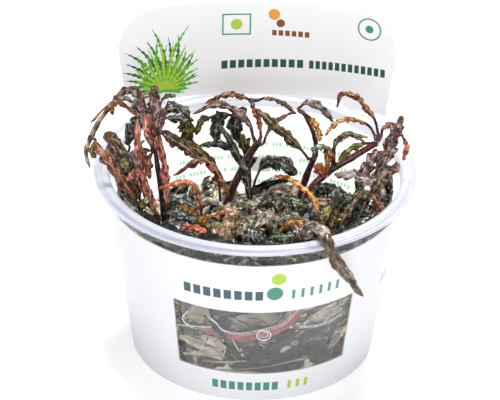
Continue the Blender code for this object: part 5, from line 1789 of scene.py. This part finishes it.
# %% List the young leaves
SMALL_LEAVES = [
    Leaf("wave_top", "slate", 4.6, 3, (0, -1, 2), 0.1,
         [(-29.6, -12, 56.6), (-26.7, -12, 58.6), (-22.9, -13, 58.4), (-18.3, -14, 56.6)]),
    Leaf("wave_mid", "slate", 4.8, 3, (0, -1, 2), 0.1,
         [(-29.5, -17, 55.8), (-25.9, -18, 57.7), (-22.4, -19, 57), (-18.5, -20, 54.7)]),
    Leaf("wave_low", "slate", 4.8, 3, (0, -1, 2), 0.1,
         [(-30.3, -21, 53.6), (-27.4, -22, 55.6), (-24, -23, 55), (-20.5, -23, 53.7)]),
    Leaf("lime_patch", "lime", 3.2, 1, (0, -1, 0), 0.1,
         [(-24.3, -33, 52.4), (-23.7, -33, 54.6), (-22.8, -33, 56.5), (-21.2, -32, 58.1)]),
    Leaf("cream_patch", "lime", 3.0, 1, (0, -1, 0), 0.1,
         [(-36.9, -14, 55.5), (-36, -14, 57.5), (-35, -14, 59), (-34.1, -13, 60.3)]),
    Leaf("fan_tall", "slate", 4.6, 2, (0, -1, 1), 0.1,
         [(28.7, -24, 57), (27.1, -20, 60.5), (26.1, -17, 63), (27, -14, 66)]),
    Leaf("fan_right", "green", 4.6, 2, (0, -1, 1), 0.1,
         [(28.7, -24, 57), (30.3, -20, 60.5), (32.2, -17, 63), (34.7, -14, 65.5)]),
    Leaf("fan_left", "slate", 4.4, 2, (0, -1, 1), 0.1,
         [(23.9, -28, 56), (21.3, -24, 59.3), (18.1, -20, 61.3), (16.2, -17, 63)]),
    Leaf("fan_low", "sage", 4.2, 2, (0, -1, 1), 0.1,
         [(31, -26, 55.5), (34.1, -24, 58.3), (38, -20, 59.3), (41.3, -17, 59.4)]),
    Leaf("lime_right", "lime", 2.8, 1, (0, -1, 0), 0.1,
         [(21.3, -27, 58), (22.2, -26, 60.5), (23.1, -25, 62.5), (24.1, -24, 64.5)]),
    Leaf("front_white", "pale", 3.4, 2, (0, -1, 1), 0.1,
         [(-1.6, -31, 58.1), (0.9, -30, 60.5), (3.4, -29, 62.5), (5.9, -28, 64)]),
    Leaf("centre_black", "dark", 6.4, 3, (0, -1, 2), 0.1,
         [(-0.4, -20, 59.8), (4, -19, 63), (9.1, -18, 63.6), (14.3, -17, 61.4)]),
    Leaf("rim_leaf_left", "slate", 5.0, 3, (0, -1, 2), 0.2,
         [(-4, -30, 52), (-3, -35, 59), (-0.5, -36, 60.6), (2, -36, 60)]),
    Leaf("rim_leaf_mid", "green", 5.0, 3, (0, -1, 2), 0.2,
         [(3, -31, 52), (5, -36, 59.5), (8, -37, 60.6), (12, -36, 60)]),
    Leaf("rim_fold", "pale", 4.0, 2, (0, -1, 1), 0.2,
         [(14.5, -34, 54), (16, -41, 66), (19.5, -44, 68.2), (24, -47, 65.6)]),
    Leaf("rim_leaf_right", "grey", 4.6, 3, (0, -1, 2), 0.2,
         [(12, -29, 52), (14, -33, 59), (17, -34, 60.4), (20, -33, 59.5)]),
    Leaf("grey_brown_short", "grey", 3.0, 4, (0, -1, 2), 0.3,
         [(10, -13, 47), (5, -14, 62), (7.5, -16, 66.5), (11.5, -18, 66)]),
    Leaf("green_glossy", "green", 6.0, 3, (0, -1, 2), 0.2,
         [(6, -14, 50), (8, -19, 60), (12, -19, 62.5), (17, -20, 61.5)]),
    Leaf("orange_small_left", "ember", 2.6, 5, (0, -1, 2), 0.2,
         [(-17, -18, 47), (-17.5, -18, 54.5), (-21, -16, 57), (-24.5, -16, 58.5)]),
    Leaf("orange_small_right", "ember", 2.4, 5, (0, -1, 2), 0.2,
         [(-17, -19, 47), (-16, -19, 55), (-13, -18, 57), (-9, -18, 58)]),
    Leaf("small_coral", "coral", 4.0, 2, (0, -1, 0), 0.25,
         [(23.5, -2, 63), (22, -8, 66), (20.5, -9, 69), (19.5, -9, 71)]),
    Leaf("brown_hanging", "orange", 2.6, 3, (0, -1, 0), 0.2,
         [(24, -4.5, 73), (22.8, -7, 75), (23, -8, 72), (23, -8, 68)]),
    Leaf("orange_arch", "orange", 1.5, 5, (0, -1, 1), 0.2,
         [(24, -1.5, 71), (27, 1, 74.3), (31, 1, 76.2), (36.5, 1.2, 72.4)]),
    Leaf("thin_curled", "dark", 1.6, 3, (0, -1, 2), 0.5,
         [(-31, 1, 80), (-31, 4, 85), (-29, 5, 87), (-26, 5, 87.4)]),
    Leaf("dark_rim_right", "dark", 3.6, 4, (-1, -1, 2), 0.2,
         [(28, -27, 52), (31, -29, 59.5), (34.5, -27, 61.6), (37, -25, 62)]),
    Leaf("plum_upright", "plum", 3.6, 3, (0, -1, 0), 0.1,
         [(-33.1, -4, 72.2), (-33.8, -3, 79), (-33.6, -2, 85.8), (-34, 0, 92)]),
    Leaf("plum_left", "plum", 3.2, 3, (-1, -2, 0), 0.1,
         [(-34.1, -5, 76.4), (-35.4, -6, 82.5), (-36.7, -6, 87.2), (-37.7, -5, 90.3)]),
    Leaf("plum_right", "plum", 3.2, 3, (1, -2, 0), 0.1,
         [(-32.8, -5, 74.6), (-30.9, -6, 80), (-30, -6, 84.4), (-30.3, -5, 88.3)]),
    Leaf("plum_front", "pink", 3.0, 3, (0, -1, 0), 0.1,
         [(-33.4, -6, 74.1), (-34.6, -9, 79.4), (-35.3, -10, 84.4), (-34, -9, 88.2)]),
    Leaf("plum_middle", "plum", 3.4, 3, (0, -1, 1), 0.1,
         [(-32.8, -6, 77), (-32.1, -8, 83.7), (-31.5, -8, 88.5), (-32.9, -6, 92.4)]),
    Leaf("dark_curl", "dark", 2.8, 3, (0, -1, 1), 0.1,
         [(-34.2, -2, 82.8), (-36.7, -4, 86.1), (-38.7, -4, 89), (-38, -6, 92)]),
    Leaf("dark_left", "dark", 3.6, 3, (0, -1, 0), 0.1,
         [(-33.9, -2, 80.3), (-36.5, -1, 80.7), (-39.1, 0, 79.4), (-40.7, 1, 75.8)]),
    Leaf("left_low_bronze", "bronze", 3.0, 3, (0, -1, 0), 0.15,
         [(-33.1, -5, 72.7), (-35.2, -9, 74.3), (-36.2, -10, 71.9), (-35.8, -10, 67)]),
    Leaf("left_low_pink", "pink", 2.8, 3, (0, -1, 0), 0.15,
         [(-32.8, -4, 72.2), (-34.3, -6, 70.3), (-34.6, -7, 67.9), (-34, -7, 63)]),
    Leaf("bridge_broad", "dark", 3.2, 4, (0, -1, 1), 0.15,
         [(-30.4, -1, 84.5), (-27.2, 0, 85.5), (-23.7, 1, 84.7), (-21.4, 1, 81.8)]),
    Leaf("bridge_low", "dark", 3.0, 3, (0, -1, 1), 0.15,
         [(-30, -2, 82.9), (-27.2, -2, 83), (-24.3, -2, 83), (-22.6, -2, 80.9)]),
    Leaf("bronze_long_left", "bronze", 3.8, 5, (0, -1, 1), 0.1,
         [(-31, -2, 77.7), (-27.7, -4, 76.7), (-23.2, -5, 74.4), (-18.6, -5, 70.1)]),
    Leaf("orange_hook", "orange", 2.2, 2, (0, -1, 0), 0.1,
         [(-45.9, 6, 85.8), (-46.3, 5, 84.3), (-46.6, 4, 82.9), (-46.3, 4, 80.2)]),
    Leaf("olive_hook", "olive", 2.6, 2, (0, -1, 0), 0.1,
         [(-51.6, -5, 76), (-52.6, -6, 73.6), (-52.8, -6, 72), (-51.3, -6, 69.9)]),
    Leaf("pink_side", "pink", 2.8, 3, (0, -1, 0), 0.1,
         [(-36.6, -13, 71), (-38.3, -13, 69.1), (-39.9, -13, 66.9), (-41.5, -13, 65.3)]),
    Leaf("right_back_upright", "dusk", 3.6, 5, (0, -1, 0), 0.4,
         [(33.5, -8, 45), (34.5, -8, 60), (35.5, -8, 68), (38.5, -7, 76)]),
    Leaf("right_mid_upright", "dusk", 3.8, 5, (0, -1, 0), 0.3,
         [(31.1, -12, 46), (32.8, -12, 62), (34.6, -12, 70.8), (40.8, -10, 77.2)]),
    Leaf("right_low_pale", "umber", 3.6, 4, (0, -1, 1), 0.3,
         [(30.3, -16, 46), (33.4, -16, 60.6), (37.9, -16, 65.8), (40, -15, 69.7)]),
    Leaf("right_bed_dark", "dark", 4.6, 3, (0, -1, 1), 0.25,
         [(22, -14, 46), (24.8, -15, 57), (27, -16, 62), (29, -16, 65)]),
    Leaf("right_bed_front", "dark", 4.2, 4, (0, -1, 1), 0.25,
         [(21.3, -20, 46), (25.3, -21, 58), (28, -21, 64), (31.5, -20, 66)]),
    Leaf("right_bed_arch", "dark", 4.6, 4, (0, -1, 2), 0.25,
         [(13.5, -6, 44), (18.2, -8, 59), (22.4, -8, 62.3), (27.3, -8, 59)]),
]

# %% Make the young leaves
SWELLING = 1.1
for number, leaf in enumerate(SMALL_LEAVES, 100):
    width = leaf.width * SWELLING
    points, faces, tags = leaf_skin(leaf.spine, width, leaf.lobes, leaf.face, leaf.stalk, 8, 9, number, 0.2)
    add_piece(leaf.name, points, faces, [LEAF_FINISHES[leaf.colour]], tags=tags)
print("young leaves:", len(SMALL_LEAVES))

# %% [markdown]
# ## Where leaves meet stems
# A leaf joins its stem by a short thick stalk. The stalks are rods bent from the nearest stem, or
# where no stem is near from the nearest large leaf, to each high leaf's foot, so that no leaf hangs in
# the air. Lower leaves need none, because they start in the tangle of the bed.

# %% Join the leaves to the stems
JOIN_ABOVE = 60  # height of the lowest foot that gets a stalk
FAR = 7  # a stem that is farther from the foot than this is left for a leaf
SAMPLES = np.linspace(0.02, 0.98, 60)


def nearest(spot, curves):
    """The nearest point of some curves and its distance."""
    places = np.vstack([along(curve, SAMPLES) for curve in curves])
    distances = np.linalg.norm(places - spot, axis=1)
    return places[distances.argmin()], distances.min()


skins = []
for leaf in LEAVES + SMALL_LEAVES:
    foot = np.array(leaf.spine[0], float)
    if foot[2] < JOIN_ABOVE:
        continue
    root, distance = nearest(foot, [stem.path for stem in STEMS])
    if distance > FAR:
        others = [other.spine for other in LEAVES if other.name != leaf.name]
        root, distance = nearest(foot, others)
    ahead = np.array(leaf.spine[1], float) - foot
    ahead /= np.linalg.norm(ahead)
    path = [root, (root + foot) / 2 - 0.15 * distance * ahead, foot, foot + 0.8 * ahead]
    skins.append(rod_skin(path, 1.7, 0.8, 24, 10))
add_gathered("joining_stalks", skins, dark_maroon)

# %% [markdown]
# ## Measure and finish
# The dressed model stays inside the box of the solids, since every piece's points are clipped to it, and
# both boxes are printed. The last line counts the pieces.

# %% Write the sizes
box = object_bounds()
for label, (lowest, highest) in (("solids", cad_box), ("pieces", box)):
    print(label, [round(value / MM, 2) for value in lowest], [round(value / MM, 2) for value in highest])
print("pieces:", len(made_pieces))
